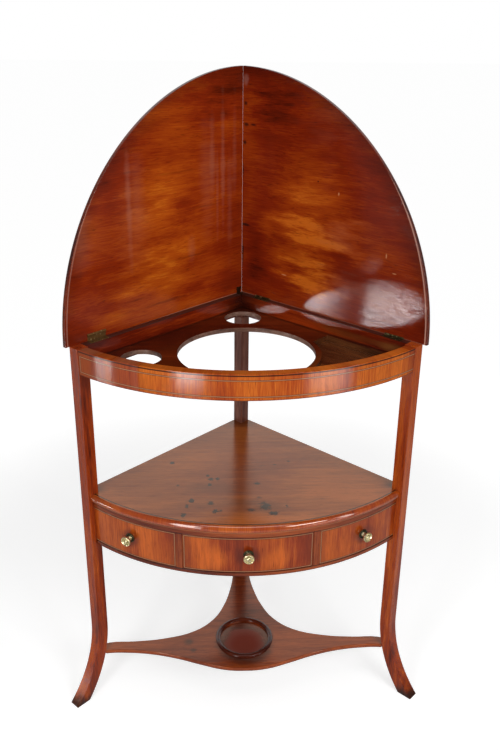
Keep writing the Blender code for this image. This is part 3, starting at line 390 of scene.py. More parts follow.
def grain_group():
    """Mahogany figure along X: broad clouds, ribbon streaks, fine fibres and short dark pores."""
    inputs = [("Place", (0.0, 0.0, 0.0)), ("Seed", 0.0), ("Sway", 0.02), ("Clouds", 2.0), ("Streaks", 1.5),
              ("Fibres", 0.9)]
    outputs = [("Tone", FLOAT), ("Pores", FLOAT), ("Height", FLOAT)]
    group, start, end = group_of("mahogany_grain", inputs, outputs)
    shift = node(group, "ShaderNodeCombineXYZ", (-1200, -250))
    for axis in "XYZ":
        group.links.new(start.outputs["Seed"], shift.inputs[axis])
    moved = vectors(group, "ADD", (-1050, 0), start.outputs["Place"], shift.outputs[0])
    bend = noise(group, (-850, 300), moved, (2.4, 4.5), 2)
    centred = vectors(group, "SUBTRACT", (-680, 300), bend.outputs["Color"], (0.5, 0.5, 0.5))
    pull = node(group, "ShaderNodeVectorMath", (-540, 300), operation="SCALE")
    group.links.new(centred, pull.inputs[0])
    group.links.new(start.outputs["Sway"], pull.inputs["Scale"])
    where = vectors(group, "ADD", (-400, 200), pull.outputs[0], moved)
    clouds = noise(group, (-50, 450), where, (3.0, 8.0), 3).outputs["Fac"]
    streaks = noise(group, (-50, 200), where, (4.0, 85.0), 4, 0.62).outputs["Fac"]
    fibres = noise(group, (-50, -50), where, (30.0, 650.0), 3, 0.6).outputs["Fac"]
    pores = noise(group, (-50, -300), where, (55.0, 700.0), 2).outputs["Fac"]
    tone = 0.5
    for number, (name, value) in enumerate((("Clouds", clouds), ("Streaks", streaks), ("Fibres", fibres))):
        apart = sums(group, "SUBTRACT", (200, 400 - 200 * number), value, 0.5)
        tone = sums(group, "MULTIPLY_ADD", (400, 400 - 200 * number), apart, start.outputs[name], tone)
    group.links.new(sums(group, "MAXIMUM", (600, 200), tone, 0.0, clamp=True), end.inputs["Tone"])
    flecks = spread(group, (400, -300), pores, 0.60, 0.74)
    group.links.new(flecks, end.inputs["Pores"])
    wave = sums(group, "MULTIPLY_ADD", (400, -500), streaks, 2.2, fibres)
    group.links.new(sums(group, "MULTIPLY_ADD", (600, -400), flecks, -0.5, wave), end.inputs["Height"])
    return group


def bow_group():
    """Unrolls a bowed front: up the face and in over its rim, and round the bow."""
    group, start, end = group_of("round_the_bow", [("Place", (0.0, 0.0, 0.0))],
                                 [("Up", FLOAT), ("Around", FLOAT)])
    parts = node(group, "ShaderNodeSeparateXYZ", (-1100, 0))
    group.links.new(start.outputs["Place"], parts.inputs[0])
    depth = sums(group, "SUBTRACT", (-900, 0), CORNER_Y, parts.outputs["Y"])
    turn = sums(group, "ARCTAN2", (-700, 0), parts.outputs["X"], depth)
    squares = sums(group, "MULTIPLY", (-700, -200), depth, depth)
    squares = sums(group, "MULTIPLY_ADD", (-500, -200), parts.outputs["X"], parts.outputs["X"], squares)
    inwards = sums(group, "SUBTRACT", (-100, -200), SIDE, sums(group, "SQRT", (-300, -200), squares))
    group.links.new(sums(group, "ADD", (100, 100), parts.outputs["Z"], inwards), end.inputs["Up"])
    group.links.new(sums(group, "MULTIPLY", (-100, 100), turn, SIDE), end.inputs["Around"])
    return group


def lines_group():
    """A rectangle of inlaid stringing on an unrolled front: a pale line between two dark ones."""
    inputs = [("Place", (0.0, 0.0, 0.0)), ("Head", 0.8), ("Foot", 0.7), ("Left", -0.3), ("Right", 0.3),
              ("Width", 0.001)]
    group, start, end = group_of("inlaid_lines", inputs, [("Pale", FLOAT), ("Dark", FLOAT)])
    parts = node(group, "ShaderNodeSeparateXYZ", (-1100, 0))
    group.links.new(start.outputs["Place"], parts.inputs[0])
    high, along = parts.outputs["X"], parts.outputs["Y"]
    above = sums(group, "SUBTRACT", (-700, 300), high, start.outputs["Head"])
    below = sums(group, "SUBTRACT", (-700, 150), start.outputs["Foot"], high)
    left = sums(group, "SUBTRACT", (-700, 0), start.outputs["Left"], along)
    right = sums(group, "SUBTRACT", (-700, -150), along, start.outputs["Right"])
    tall = sums(group, "MAXIMUM", (-500, 200), above, below)
    wide = sums(group, "MAXIMUM", (-500, -50), left, right)
    outside = sums(group, "ABSOLUTE", (-100, 100), sums(group, "MAXIMUM", (-300, 100), tall, wide))
    lines = {}
    for number, (name, share) in enumerate((("Pale", 0.5), ("Dark", 1.25))):
        reach = sums(group, "MULTIPLY", (100, -100 - 200 * number), start.outputs["Width"], share)
        soft = sums(group, "MULTIPLY", (100, -600 - 200 * number), start.outputs["Width"], share + 0.25)
        lines[name] = spread(group, (300, 100 - 200 * number), outside, reach, soft, 1.0, 0.0)
        group.links.new(lines[name], end.inputs[name])
    return group


def patch_group():
    """A soft-edged patch round a centre, its edge drawn out and broken along the grain."""
    inputs = [("Place", (0.0, 0.0, 0.0)), ("Centre", (0.0, 0.0, 0.0)), ("Reach", (0.1, 0.1, 0.1)), ("Ragged", 0.5),
              ("Core", 0.3)]
    group, start, end = group_of("soft_patch", inputs, [("Mask", FLOAT)])
    apart = vectors(group, "SUBTRACT", (-1000, 100), start.outputs["Place"], start.outputs["Centre"])
    share = vectors(group, "DIVIDE", (-800, 100), apart, start.outputs["Reach"])
    far = vectors(group, "LENGTH", (-600, 100), share)
    broken = noise(group, (-600, -200), start.outputs["Place"], (9.0, 40.0), 4, 0.60)
    off = sums(group, "SUBTRACT", (-400, -200), broken.outputs["Fac"], 0.5)
    ragged = sums(group, "MULTIPLY", (-400, -400), start.outputs["Ragged"], 2.0)
    distance = sums(group, "MULTIPLY_ADD", (-200, 0), off, ragged, far)
    group.links.new(spread(group, (0, 0), distance, start.outputs["Core"], 1.0, 1.0, 0.0), end.inputs["Mask"])
    return group


GRAIN = grain_group()
BOW = bow_group()
LINES = lines_group()
PATCH = patch_group()


class Wood:
    """One polished mahogany finish, built up in layers over its grain."""

    def __init__(self, name, turn, dark, middle, light, seed, gloss=0.17, figure=(2.0, 1.5, 0.9), sway=0.02,
                 bowed=False, pores=0.5, bump=0.10, shine=0.5, glow=None, tint=(1.0, 1.0, 1.0)):
        self.material, tree, self.shader = new_material(name)
        self.tree = tree
        self.column = 0
        self.spots = None
        place = node(tree, "ShaderNodeTexCoord", (-2200, 0)).outputs["Object"]
        if bowed:
            bow = placed_group(tree, (-2200, -200), BOW, Place=place)
            unrolled = node(tree, "ShaderNodeCombineXYZ", (-2000, 0))
            tree.links.new(bow.outputs["Up"], unrolled.inputs["X"])
            tree.links.new(bow.outputs["Around"], unrolled.inputs["Y"])
            place = unrolled.outputs[0]
        self.plain_place = place
        turned = node(tree, "ShaderNodeMapping", (-1800, 0))
        turned.inputs["Rotation"].default_value = turn
        tree.links.new(place, turned.inputs["Vector"])
        self.place = turned.outputs[0]
        grain = placed_group(tree, (-1500, 0), GRAIN, Place=self.place, Seed=seed, Sway=sway, Clouds=figure[0],
                             Streaks=figure[1], Fibres=figure[2])
        glow = glow or tuple(c * 1.3 for c in light)
        tone = ramp(tree, (-1250, 200), [(0.0, dark), (0.42, middle), (0.76, light), (1.0, glow)])
        tree.links.new(grain.outputs["Tone"], tone.inputs["Fac"])
        self.tone_ramp = tone
        specks = sums(tree, "MULTIPLY", (-1250, -100), grain.outputs["Pores"], pores)
        self.colour = mix(tree, (-950, 200), specks, tone.outputs["Color"], tuple(c * 0.3 for c in dark))
        self.grain_tone = grain.outputs["Tone"]
        self.rough = spread(tree, (-950, -300), grain.outputs["Tone"], 0.0, 1.0, gloss * 1.25, gloss * 0.85)
        self.shader.inputs["Specular IOR Level"].default_value = shine
        self.shader.inputs["Specular Tint"].default_value = (*tint, 1)
        dent(tree, (-600, -600), self.shader, grain.outputs["Height"], bump, 0.0003)

    def at(self, row):
        """Where a node of the newest layer sits in the node editor."""
        return FIRST_COLUMN + COLUMN_STEP * self.column, row

    def mask(self, centre, reach, ragged=0.5, core=0.3):
        """A layer's patch, as a share from 0 outside it to 1 in its core."""
        self.column += 1
        made = placed_group(self.tree, self.at(700), PATCH, Place=self.place, Centre=centre, Reach=reach,
                            Ragged=ragged, Core=core)
        return made.outputs["Mask"]

    def stain(self, colour, amount, centre, reach, ragged=0.5, core=0.3):
        """Tint one soft patch of the surface."""
        share = sums(self.tree, "MULTIPLY", self.at(500), self.mask(centre, reach, ragged, core), amount)
        self.colour = mix(self.tree, self.at(300), share, self.colour, colour)
        return self

    def spatter(self, colour, amount, centre, reach):
        """Ragged spots, thickest in the middle of one patch."""
        share = self.mask(centre, reach, 0.9, 0.0)
        if self.spots is None:
            self.spots = noise(self.tree, (-1500, 900), self.place, (110.0, 190.0), 4, 0.65).outputs["Fac"]
        level = sums(self.tree, "MULTIPLY_ADD", self.at(1100), share, 0.30, self.spots)
        marks = spread(self.tree, self.at(900), level, 0.52, 0.76, 0.0, amount * 2.4)
        inside = sums(self.tree, "MULTIPLY", self.at(700), marks, share, clamp=True)
        self.colour = mix(self.tree, self.at(300), inside, self.colour, colour)
        return self

    def lift(self, amount, centre, reach, ragged=0.8):
        """Make the figure lighter, or with a negative amount darker, in one soft patch."""
        share = self.mask(centre, reach, ragged, 0.0)
        self.grain_tone = sums(self.tree, "MULTIPLY_ADD", self.at(500), share, amount, self.grain_tone)
        self.tree.links.new(self.grain_tone, self.tone_ramp.inputs["Fac"])
        return self

    def circle(self, colour, amount, centre, radius, half):
        """A thin line round a centre, in the plane that the radius's two numbers span."""
        wide = tuple(r + half if r < WIDE else r for r in radius)
        narrow = tuple(r - half if r < WIDE else r for r in radius)
        least = min(radius)
        outer = self.mask(centre, wide, 0.0, 1 - half / least)
        inner = self.mask(centre, narrow, 0.0, 1 - half / least)
        band = sums(self.tree, "SUBTRACT", self.at(600), outer, inner, clamp=True)
        share = sums(self.tree, "MULTIPLY", self.at(500), band, amount)
        self.colour = mix(self.tree, self.at(300), share, self.colour, colour)
        return self

    def rim_shade(self, colour, amount, centre, reach, core):
        """Darken the surface towards the outline of a round board."""
        inside = self.mask(centre, reach, 0.06, core)
        outside = sums(self.tree, "SUBTRACT", self.at(600), 1.0, inside)
        share = sums(self.tree, "MULTIPLY", self.at(500), outside, amount)
        self.colour = mix(self.tree, self.at(300), share, self.colour, colour)
        return self

    def dull(self, roughness, centre, reach, ragged=0.5):
        """Take the polish off one patch."""
        share = self.mask(centre, reach, ragged)
        made = node(self.tree, "ShaderNodeMix", self.at(-300), data_type="FLOAT")
        feed(self.tree, made.inputs["Factor"], share)
        feed(self.tree, made.inputs[2], self.rough)
        made.inputs[3].default_value = roughness
        self.rough = made.outputs[0]
        return self

    def inlay(self, head, foot, left, right, width, pale):
        self.column += 1
        lines = placed_group(self.tree, self.at(900), LINES, Place=self.plain_place, Head=head, Foot=foot,
                             Left=left * SIDE, Right=right * SIDE, Width=width)
        under = mix(self.tree, self.at(500), lines.outputs["Dark"], self.colour, STRINGING_SHADOW)
        self.colour = mix(self.tree, self.at(300), lines.outputs["Pale"], under, pale)
        return self

    def done(self):
        self.tree.links.new(self.colour, self.shader.inputs["Base Color"])
        self.tree.links.new(self.rough, self.shader.inputs["Roughness"])
        return self.material


FIRST_COLUMN = -900
COLUMN_STEP = 260
STRINGING_SHADOW = (0.030, 0.007, 0.004)
FRIEZE_MIDDLE = 0.77
ALONG_X = (0, 0, 0)
ACROSS_X = (0, 0, radians(90))
UPRIGHT = (0, radians(90), 0)
ALONG_LEFT = (0, 0, radians(135))
ALONG_RIGHT = (0, 0, radians(45))
WIDE = 4.0


def leaf_finish(hand, **values):
    """A leaf's finish: its grain runs along its wall, and places on it are (s, height)."""
    return Wood(hand + "_leaf_mahogany", ALONG_LEFT if hand == "left" else ALONG_RIGHT, **values)


def on_leaf(s, height):
    """A place on a leaf, in the turned coordinates that its grain uses."""
    return (s - 0.012, 0.0, height)


def left_leaf_wood():
    """The left leaf: amber figure, dark streaks, painted reflection in upright bands, a painted highlight on rim and
    foot.
    """
    wood = leaf_finish("left", dark=(0.075, 0.007, 0.0015), middle=(0.240, 0.021, 0.0030), light=(0.42, 0.068, 0.005),
                       glow=(0.62, 0.155, 0.010), seed=4.4, gloss=0.11, shine=0.4, figure=(1.25, 0.32, 0.55),
                       sway=0.035, bump=0.3, pores=0.45)
    for s, height, along, tall, amount in (
        (0.225, 1.050, 0.120, 0.050, 0.32), (0.250, 0.980, 0.110, 0.070, 0.28), (0.180, 0.940, 0.150, 0.060, 0.16),
        (0.270, 0.870, 0.140, 0.055, 0.40), (0.380, 0.826, 0.110, 0.030, 0.22), (0.190, 1.160, 0.120, 0.060, 0.16),
        (0.120, 0.870, 0.110, 0.030, 0.08), (0.03, 1.250, 0.20, 0.110, -0.36), (0.440, 0.900, 0.060, 0.080, -0.12),
        (0.445, 0.815, 0.070, 0.050, -0.26), (0.345, 1.140, 0.070, 0.070, -0.16), (0.050, 0.820, 0.090, 0.045, -0.26),
        (0.100, 0.980, 0.080, 0.100, 0.10), (0.100, 1.190, 0.110, 0.060, -0.22), (0.155, 0.835, 0.090, 0.032, -0.34),
        (0.160, 0.885, 0.070, 0.030, -0.16), (0.175, 1.010, 0.060, 0.030, -0.14), (0.400, 1.010, 0.060, 0.090, 0.14),
    ):
        wood.lift(amount, on_leaf(s, height), (along, WIDE, tall), 0.9)
    shade = (0.045, 0.004, 0.002)
    for s, height, along, tall, amount in (
        (0.235, 0.826, 0.110, 0.0060, 0.40), (0.300, 0.846, 0.060, 0.0050, 0.35), (0.150, 0.905, 0.080, 0.0035, 0.30),
        (0.190, 1.075, 0.070, 0.0030, 0.25), (0.110, 1.000, 0.060, 0.0030, 0.25),
    ):
        wood.stain(shade, amount, on_leaf(s, height), (along, WIDE, tall), 1.2)
    wood.rim_shade(shade, 0.42, on_leaf(0.0, LEAF_FOOT), (0.472, WIDE, 0.472), 0.91)
    # Painted highlight: pale lines round the rim and along the foot, where the rounded arrises catch the light.
    wood.circle((0.50, 0.24, 0.17), 0.40, on_leaf(0.0, LEAF_FOOT), (0.4620, WIDE, 0.4790), 0.0013)
    wood.stain((0.45, 0.22, 0.14), 0.55, on_leaf(0.10, LEAF_FOOT), (0.22, WIDE, 0.0020), 0.25, 0.5)
    # Painted reflection: the pale upright bands and patches below stand in for bright things mirrored in the polish.
    pale = (0.42, 0.17, 0.11)
    for s, height, along, tall, amount in (
        (0.306, 1.040, 0.0100, 0.150, 0.26), (0.285, 1.050, 0.0260, 0.110, 0.10), (0.060, 1.080, 0.0085, 0.170, 0.22),
        (0.076, 1.020, 0.0060, 0.130, 0.12), (0.090, 1.100, 0.0120, 0.110, 0.18), (0.105, 1.060, 0.0300, 0.150, 0.12),
        (0.040, 0.990, 0.0120, 0.140, 0.12), (0.026, 1.100, 0.0090, 0.130, 0.12), (0.150, 0.915, 0.0140, 0.035, 0.14),
        (0.420, 0.985, 0.0350, 0.090, 0.16), (0.300, 1.000, 0.0600, 0.120, 0.07),
    ):
        wood.stain(pale, amount, on_leaf(s, height), (along, WIDE, tall), 0.7, 0.0)
    for s, height, along, tall in ((0.300, 1.040, 0.030, 0.13), (0.075, 1.050, 0.045, 0.15)):
        wood.dull(0.24, on_leaf(s, height), (along, WIDE, tall), 0.5)
    return wood.done()


def right_leaf_wood():
    """The right leaf: amber figure, ink marks by the corner, a few scratches, painted sheen, a painted highlight on rim
    and foot.
    """
    wood = leaf_finish("right", dark=(0.062, 0.005, 0.0015), middle=(0.200, 0.015, 0.0024), light=(0.36, 0.052, 0.004),
                       glow=(0.56, 0.125, 0.010), seed=9.6, gloss=0.09, shine=0.5, figure=(1.0, 0.28, 0.60), sway=0.03,
                       bump=0.45, pores=0.5)
    for s, height, along, tall, amount in (
        (0.165, 0.920, 0.110, 0.100, 0.54), (0.120, 0.975, 0.080, 0.060, 0.12), (0.195, 1.030, 0.130, 0.060, 0.34),
        (0.200, 0.935, 0.110, 0.030, 0.30), (0.190, 0.862, 0.120, 0.040, 0.44), (0.200, 0.842, 0.090, 0.025, 0.22),
        (0.265, 0.965, 0.090, 0.060, 0.34), (0.170, 1.100, 0.170, 0.060, 0.20), (0.090, 1.115, 0.080, 0.050, -0.14),
        (0.105, 1.185, 0.090, 0.045, -0.26), (0.090, 1.165, 0.110, 0.080, -0.18),
        (0.030, 1.250, 0.180, 0.100, -0.24), (0.040, 0.905, 0.040, 0.100, -0.22),
        (0.020, 1.050, 0.050, 0.120, 0.16), (0.040, 0.845, 0.060, 0.040, -0.24), (0.350, 0.845, 0.120, 0.040, 0.18),
        (0.075, 0.955, 0.040, 0.030, 0.20), (0.350, 0.950, 0.100, 0.080, 0.12),
    ):
        wood.lift(amount, on_leaf(s, height), (along, WIDE, tall), 0.9)
    shade = (0.040, 0.003, 0.0015)
    wood.rim_shade(shade, 0.55, on_leaf(0.0, LEAF_FOOT), (0.472, WIDE, 0.472), 0.90)
    # Painted highlight: pale lines round the rim and along the foot, where the rounded arrises catch the light.
    wood.circle((0.60, 0.33, 0.25), 0.75, on_leaf(0.0, LEAF_FOOT), (0.4622, WIDE, 0.4760), 0.0013)
    wood.stain((0.42, 0.22, 0.15), 0.35, on_leaf(0.0, LEAF_FOOT), (WIDE, WIDE, 0.0016), 0.3, 0.5)
    # Painted sheen: pale milky patches stand in for the blurred reflection of the room and the lamps.
    painted_sheen = (0.32, 0.110, 0.070)
    for s, height, along, tall, amount in (
        (0.195, 1.165, 0.075, 0.045, 0.08), (0.265, 0.970, 0.065, 0.045, 0.20), (0.330, 0.872, 0.110, 0.035, 0.24),
    ):
        wood.stain(painted_sheen, amount, on_leaf(s, height), (along, WIDE, tall), 1.6, 0.0)
    ink = (0.018, 0.005, 0.004)
    for s, height, along, tall in (
        (0.010, 1.191, 0.0085, 0.0060), (0.012, 1.150, 0.0090, 0.0045), (0.031, 1.151, 0.0110, 0.0030),
        (0.008, 1.115, 0.0055, 0.0050), (0.012, 0.946, 0.0110, 0.0035), (0.200, 1.060, 0.0025, 0.0020),
        (0.300, 0.960, 0.0022, 0.0016), (0.270, 1.085, 0.0022, 0.0018), (0.140, 1.000, 0.0020, 0.0016),
        (0.005, 1.060, 0.0030, 0.0200), (0.005, 0.880, 0.0030, 0.0300),
    ):
        wood.stain(ink, 0.85, on_leaf(s, height), (along, WIDE, tall), 0.9)
    scratch = (0.60, 0.26, 0.11)
    for s, height, along, tall in (
        (0.121, 0.858, 0.009, 0.0013), (0.250, 1.043, 0.0022, 0.0040), (0.385, 0.915, 0.006, 0.0014),
        (0.365, 0.945, 0.0018, 0.0060),
    ):
        wood.stain(scratch, 0.8, on_leaf(s, height), (along, WIDE, tall), 0.3)
    wood.stain((0.32, 0.13, 0.10), 0.5, on_leaf(0.010, 1.233), (0.010, WIDE, 0.014), 0.9)
    return wood.done()


def shelf_finish():
    """Sunned and spotted wood, lighter on both sides as painted reflection, dark where the legs and the post meet it.
    """
    wood = Wood("shelf_mahogany", ALONG_X, dark=(0.12, 0.020, 0.004), middle=(0.25, 0.052, 0.010),
                light=(0.38, 0.098, 0.018), seed=1.7, gloss=0.17, shine=0.9, tint=(1.0, 0.72, 0.52),
                figure=(1.4, 0.8, 0.9), sway=0.03, bump=0.25, pores=0.5)
    # The broad lifts at x = ±0.17 are painted reflection: lighter fields on both sides of where the post is mirrored.
    for x, y, along, deep, amount in (
        (-0.20, -0.30, 0.12, 0.05, -0.16), (0.08, -0.22, 0.16, 0.03, -0.14), (0.20, -0.32, 0.10, 0.04, 0.14),
        (-0.02, -0.30, 0.10, 0.05, -0.18), (0.05, -0.41, 0.12, 0.02, 0.20), (-0.20, -0.36, 0.08, 0.02, 0.16),
        (0.17, -0.27, 0.14, 0.15, 0.34), (-0.17, -0.26, 0.14, 0.15, 0.28), (0.0, -0.405, 0.20, 0.035, 0.24),
    ):
        wood.lift(amount, (x, y, SHELF_TOP), (along, deep, WIDE), 1.0)
    for x, y, along, deep, amount in (
        (-0.080, -0.300, 0.050, 0.030, 0.22), (0.030, -0.360, 0.070, 0.030, 0.30), (-0.05, -0.360, 0.090, 0.030, 0.16),
    ):
        wood.stain((0.03, 0.010, 0.006), amount, (x, y, SHELF_TOP), (along, deep, WIDE), 1.0)
    ink = (0.010, 0.005, 0.005)
    for x, y, along, deep, amount in (
        (-0.150, -0.196, 0.010, 0.012, 0.55), (-0.076, -0.250, 0.010, 0.013, 0.55),
        (-0.069, -0.263, 0.010, 0.012, 0.45), (-0.056, -0.262, 0.008, 0.010, 0.45),
        (-0.072, -0.286, 0.008, 0.012, 0.75), (-0.135, -0.286, 0.007, 0.009, 0.35),
        (-0.107, -0.340, 0.008, 0.016, 0.75), (-0.115, -0.361, 0.007, 0.017, 0.45),
        (-0.121, -0.392, 0.010, 0.015, 0.95), (-0.061, -0.378, 0.011, 0.015, 0.85),
        (-0.051, -0.378, 0.009, 0.009, 0.40), (-0.070, -0.351, 0.012, 0.013, 0.40),
        (0.023, -0.334, 0.017, 0.014, 0.45), (0.034, -0.363, 0.026, 0.022, 0.75),
        (0.049, -0.391, 0.019, 0.013, 0.80), (0.075, -0.365, 0.007, 0.010, 0.50),
        (0.006, -0.377, 0.014, 0.013, 0.35), (0.063, -0.209, 0.010, 0.008, 0.35),
        (0.093, -0.195, 0.012, 0.011, 0.45), (0.023, -0.282, 0.012, 0.011, 0.40),
    ):
        wood.spatter(ink, amount, (x, y, SHELF_TOP), (0.85 * along, 0.85 * deep, WIDE))
    wood.circle((0.025, 0.005, 0.003), 0.95, (0.0, CORNER_Y, SHELF_TOP), (0.4438, 0.4438, WIDE), 0.0014)
    wood.stain((0.05, 0.010, 0.004), 0.60, (0.0, CORNER_Y - 0.02, SHELF_TOP), (0.05, 0.05, WIDE), 0.3, 0.2)
    for side in (-1, 1):
        leg = (side * 0.300, CORNER_Y - 0.315, SHELF_TOP)
        wood.stain((0.05, 0.010, 0.004), 0.65, leg, (0.035, 0.022, WIDE), 0.3, 0.2)
    return wood.done()


def nosing_finish():
    """The shelf's moulded edge: redder and better polished than its top."""
    wood = bow_wood("nosing_mahogany", (0.15, 0.013, 0.002), (0.34, 0.046, 0.004), (0.48, 0.096, 0.008), 14.2,
                    figure=(1.6, 1.0, 0.9), sway=0.008, bump=0.12, gloss=0.12, shine=0.6, tint=(1.0, 0.86, 0.76))
    for around, wide, amount in ((0.36, 0.10, 0.30), (-0.36, 0.12, 0.55)):
        wood.stain((0.15, 0.015, 0.003), amount, (0.49, around, 0), (WIDE, wide, WIDE), 0.3)
    wood.shader.inputs["Coat Weight"].default_value = 1.0
    wood.shader.inputs["Coat Roughness"].default_value = 0.07
    return wood.done()


def bow_wood(name, dark, middle, light, seed, turn=ALONG_X, **values):
    """A finish that follows the bow, with places counted as height and distance round it."""
    return Wood(name, turn, dark, middle, light, seed, bowed=True, **values)


def frieze_finish():
    """Cross-banded veneer with stringing, its polish gone in two places on the left."""
    wood = bow_wood("frieze_veneer", (0.17, 0.016, 0.003), (0.40, 0.058, 0.006), (0.60, 0.138, 0.013), 3.1,
                    figure=(1.6, 1.0, 0.9), sway=0.008, bump=0.15, gloss=0.13)
    for around, wide, amount in ((0.03, 0.15, 0.30), (0.12, 0.06, 0.14), (0.0, 0.03, 0.12)):
        wood.lift(amount, (FRIEZE_MIDDLE, around, 0), (WIDE, wide, WIDE), 0.3)
    wood.dull(0.90, (FRIEZE_MIDDLE, -0.325, 0), (WIDE, 0.046, WIDE), 0.1)
    wood.dull(0.80, (FRIEZE_MIDDLE, -0.226, 0), (WIDE, 0.034, WIDE), 0.1)
    wood.dull(0.27, (FRIEZE_MIDDLE, -0.272, 0), (WIDE, 0.022, WIDE), 0.1)
    for around, wide, amount in ((-0.36, 0.14, 0.60), (-0.22, 0.05, 0.25), (0.260, 0.12, 0.10), (0.335, 0.03, 0.40)):
        wood.stain((0.15, 0.015, 0.003), amount, (FRIEZE_MIDDLE, around, 0), (WIDE, wide, WIDE), 0.3)
    wood.stain((0.24, 0.062, 0.012), 0.55, (0.8065, -0.20, 0), (0.0110, 0.28, WIDE), 0.25, 0.6)
    wood.stain((0.52, 0.150, 0.026), 0.45, (0.8060, 0.12, 0), (0.0105, 0.22, WIDE), 0.25, 0.6)
    wood.stain((0.04, 0.008, 0.003), 0.80, (0.8165, 0.0, 0), (0.0032, WIDE, WIDE), 0.25, 0.3)
    wood.stain((0.025, 0.005, 0.002), 0.90, (0.7925, 0.0, 0), (0.0018, WIDE, WIDE), 0.15, 0.5)
    wood.stain((0.05, 0.009, 0.003), 0.75, (0.7460, 0.0, 0), (0.0026, WIDE, WIDE), 0.30, 0.3)
    return wood.inlay(0.7835, 0.7535, radians(-41.4), radians(42.4), 0.0010, (0.50, 0.22, 0.10)).done()


def front_wood(name, left, right, seed):
    """A veneered front with stringing, worn darker round its knob and at its edges."""
    wood = bow_wood(name, (0.10, 0.009, 0.002), (0.26, 0.032, 0.004), (0.46, 0.090, 0.009), seed,
                    figure=(2.2, 0.7, 0.9), sway=0.008, bump=0.15, gloss=0.15, shine=0.4)
    middle = (left + right) / 2 * SIDE
    half = (right - left) / 2 * SIDE
    setback = SIDE - FRONT_RADIUS
    level = 0.4245 + setback
    if middle == 0:
        for around in (-0.055, 0.060):
            wood.lift(0.42, (level - 0.012, around, 0), (0.040, 0.045, WIDE), 0.5)
    wood.stain((0.11, 0.013, 0.004), 0.65, (level, middle, 0), (0.026, 0.036, WIDE), 0.6)
    for side in (-1, 1):
        wood.stain((0.16, 0.020, 0.004), 0.50, (level, middle + side * half, 0), (WIDE, 0.020, WIDE), 0.4)
    for height in (OPENING_HEAD + setback, OPENING_FOOT + setback):
        wood.stain((0.06, 0.009, 0.004), 0.60, (height, middle, 0), (0.0060, WIDE, WIDE), 0.4)
    head = OPENING_HEAD + setback - 0.0030
    return wood.inlay(head, OPENING_FOOT + setback + 0.0026, left, right, 0.0009, (0.44, 0.19, 0.075)).done()


def rail_finish(name, turn, seed):
    """The thin members round the drawer fronts: dull red with a pale string, black where they meet the shelf, at the
    openings and at the foot.
    """
    wood = bow_wood(name, (0.060, 0.008, 0.003), (0.165, 0.024, 0.005), (0.30, 0.060, 0.012), seed, turn=turn,
                    figure=(1.4, 1.4, 1.0), bump=0.2, gloss=0.2, shine=0.4)
    setback = SIDE - TIER_RADIUS
    high = (lambda level: (0, level, 0)) if turn == ACROSS_X else (lambda level: (level, 0, 0))
    thin = (lambda reach: (WIDE, reach, WIDE)) if turn == ACROSS_X else (lambda reach: (reach, WIDE, WIDE))
    wood.stain((0.020, 0.004, 0.002), 0.85, high(TIER_HEAD + setback), thin(0.0030), 0.3, 0.3)
    wood.stain((0.35, 0.14, 0.055), 0.60, high(TIER_HEAD + setback - 0.0048), thin(0.0011), 0.2, 0.3)
    for level in (OPENING_HEAD, OPENING_FOOT):
        wood.stain((0.020, 0.004, 0.002), 0.80, high(level + setback), thin(0.0016), 0.3, 0.3)
    wood.stain((0.020, 0.004, 0.002), 0.70, high(TIER_FOOT + setback), thin(0.0020), 0.3, 0.3)
    return wood.done()


def undertier_finish():
    """Red wood with a dark band round a redder field inside the ring, and painted shade along its neck towards the
    post.
    """
    wood = Wood("undertier_mahogany", ALONG_X, (0.075, 0.010, 0.003), (0.21, 0.032, 0.007), (0.34, 0.066, 0.014), 11.2,
                gloss=0.16, figure=(1.6, 1.0, 1.0), bump=0.25, shine=0.8, tint=(1.0, 0.72, 0.55))
    # Painted shade: the neck that runs back towards the post is darkened.
    wood.lift(-0.30, (0.0, -0.16, UNDERTIER_TOP), (0.035, 0.16, WIDE), 0.6)
    wood.stain((0.030, 0.005, 0.003), 0.75, (0.0, RING_Y, UNDERTIER_TOP), (0.072, 0.072, WIDE), 0.25, 0.72)
    wood.stain((0.17, 0.010, 0.002), 0.85, (0.0, RING_Y, UNDERTIER_TOP), (0.050, 0.050, WIDE), 0.25, 0.72)
    wood.dull(0.80, (0.0, RING_Y, UNDERTIER_TOP), (0.056, 0.056, WIDE), 0.1)
    for x, y, along, deep in (
        (-0.120, -0.290, 0.016, 0.012), (-0.110, -0.318, 0.010, 0.008), (0.105, -0.250, 0.008, 0.006),
    ):
        wood.stain((0.02, 0.008, 0.006), 0.7, (x, y, UNDERTIER_TOP), (along, deep, WIDE), 1.2)
    wood.stain((0.02, 0.004, 0.002), 0.75, (0.0, 0.0, UNDERTIER_TOP - UNDERTIER_THICKNESS), (WIDE, WIDE, 0.0030), 0.3)
    return wood.done()


def brass_group():
    """Old brass: broad worn and tarnished areas, with small spots of dirt."""
    outputs = [("Worn", FLOAT), ("Spots", FLOAT)]
    group, start, end = group_of("tarnish", [("Place", (0.0, 0.0, 0.0)), ("Worn", 0.5)], outputs)
    broad = noise(group, (-600, 200), start.outputs["Place"], (150.0, 150.0), 4, 0.6)
    low = sums(group, "SUBTRACT", (-400, 400), 0.70, sums(group, "MULTIPLY", (-600, 500), start.outputs["Worn"], 0.4))
    high = sums(group, "ADD", (-200, 400), low, 0.22)
    group.links.new(spread(group, (0, 200), broad.outputs["Fac"], low, high), end.inputs["Worn"])
    small = noise(group, (-600, -200), start.outputs["Place"], (900.0, 900.0), 2, 0.6)
    group.links.new(spread(group, (0, -200), small.outputs["Fac"], 0.58, 0.70), end.inputs["Spots"])
    return group


TARNISH = brass_group()


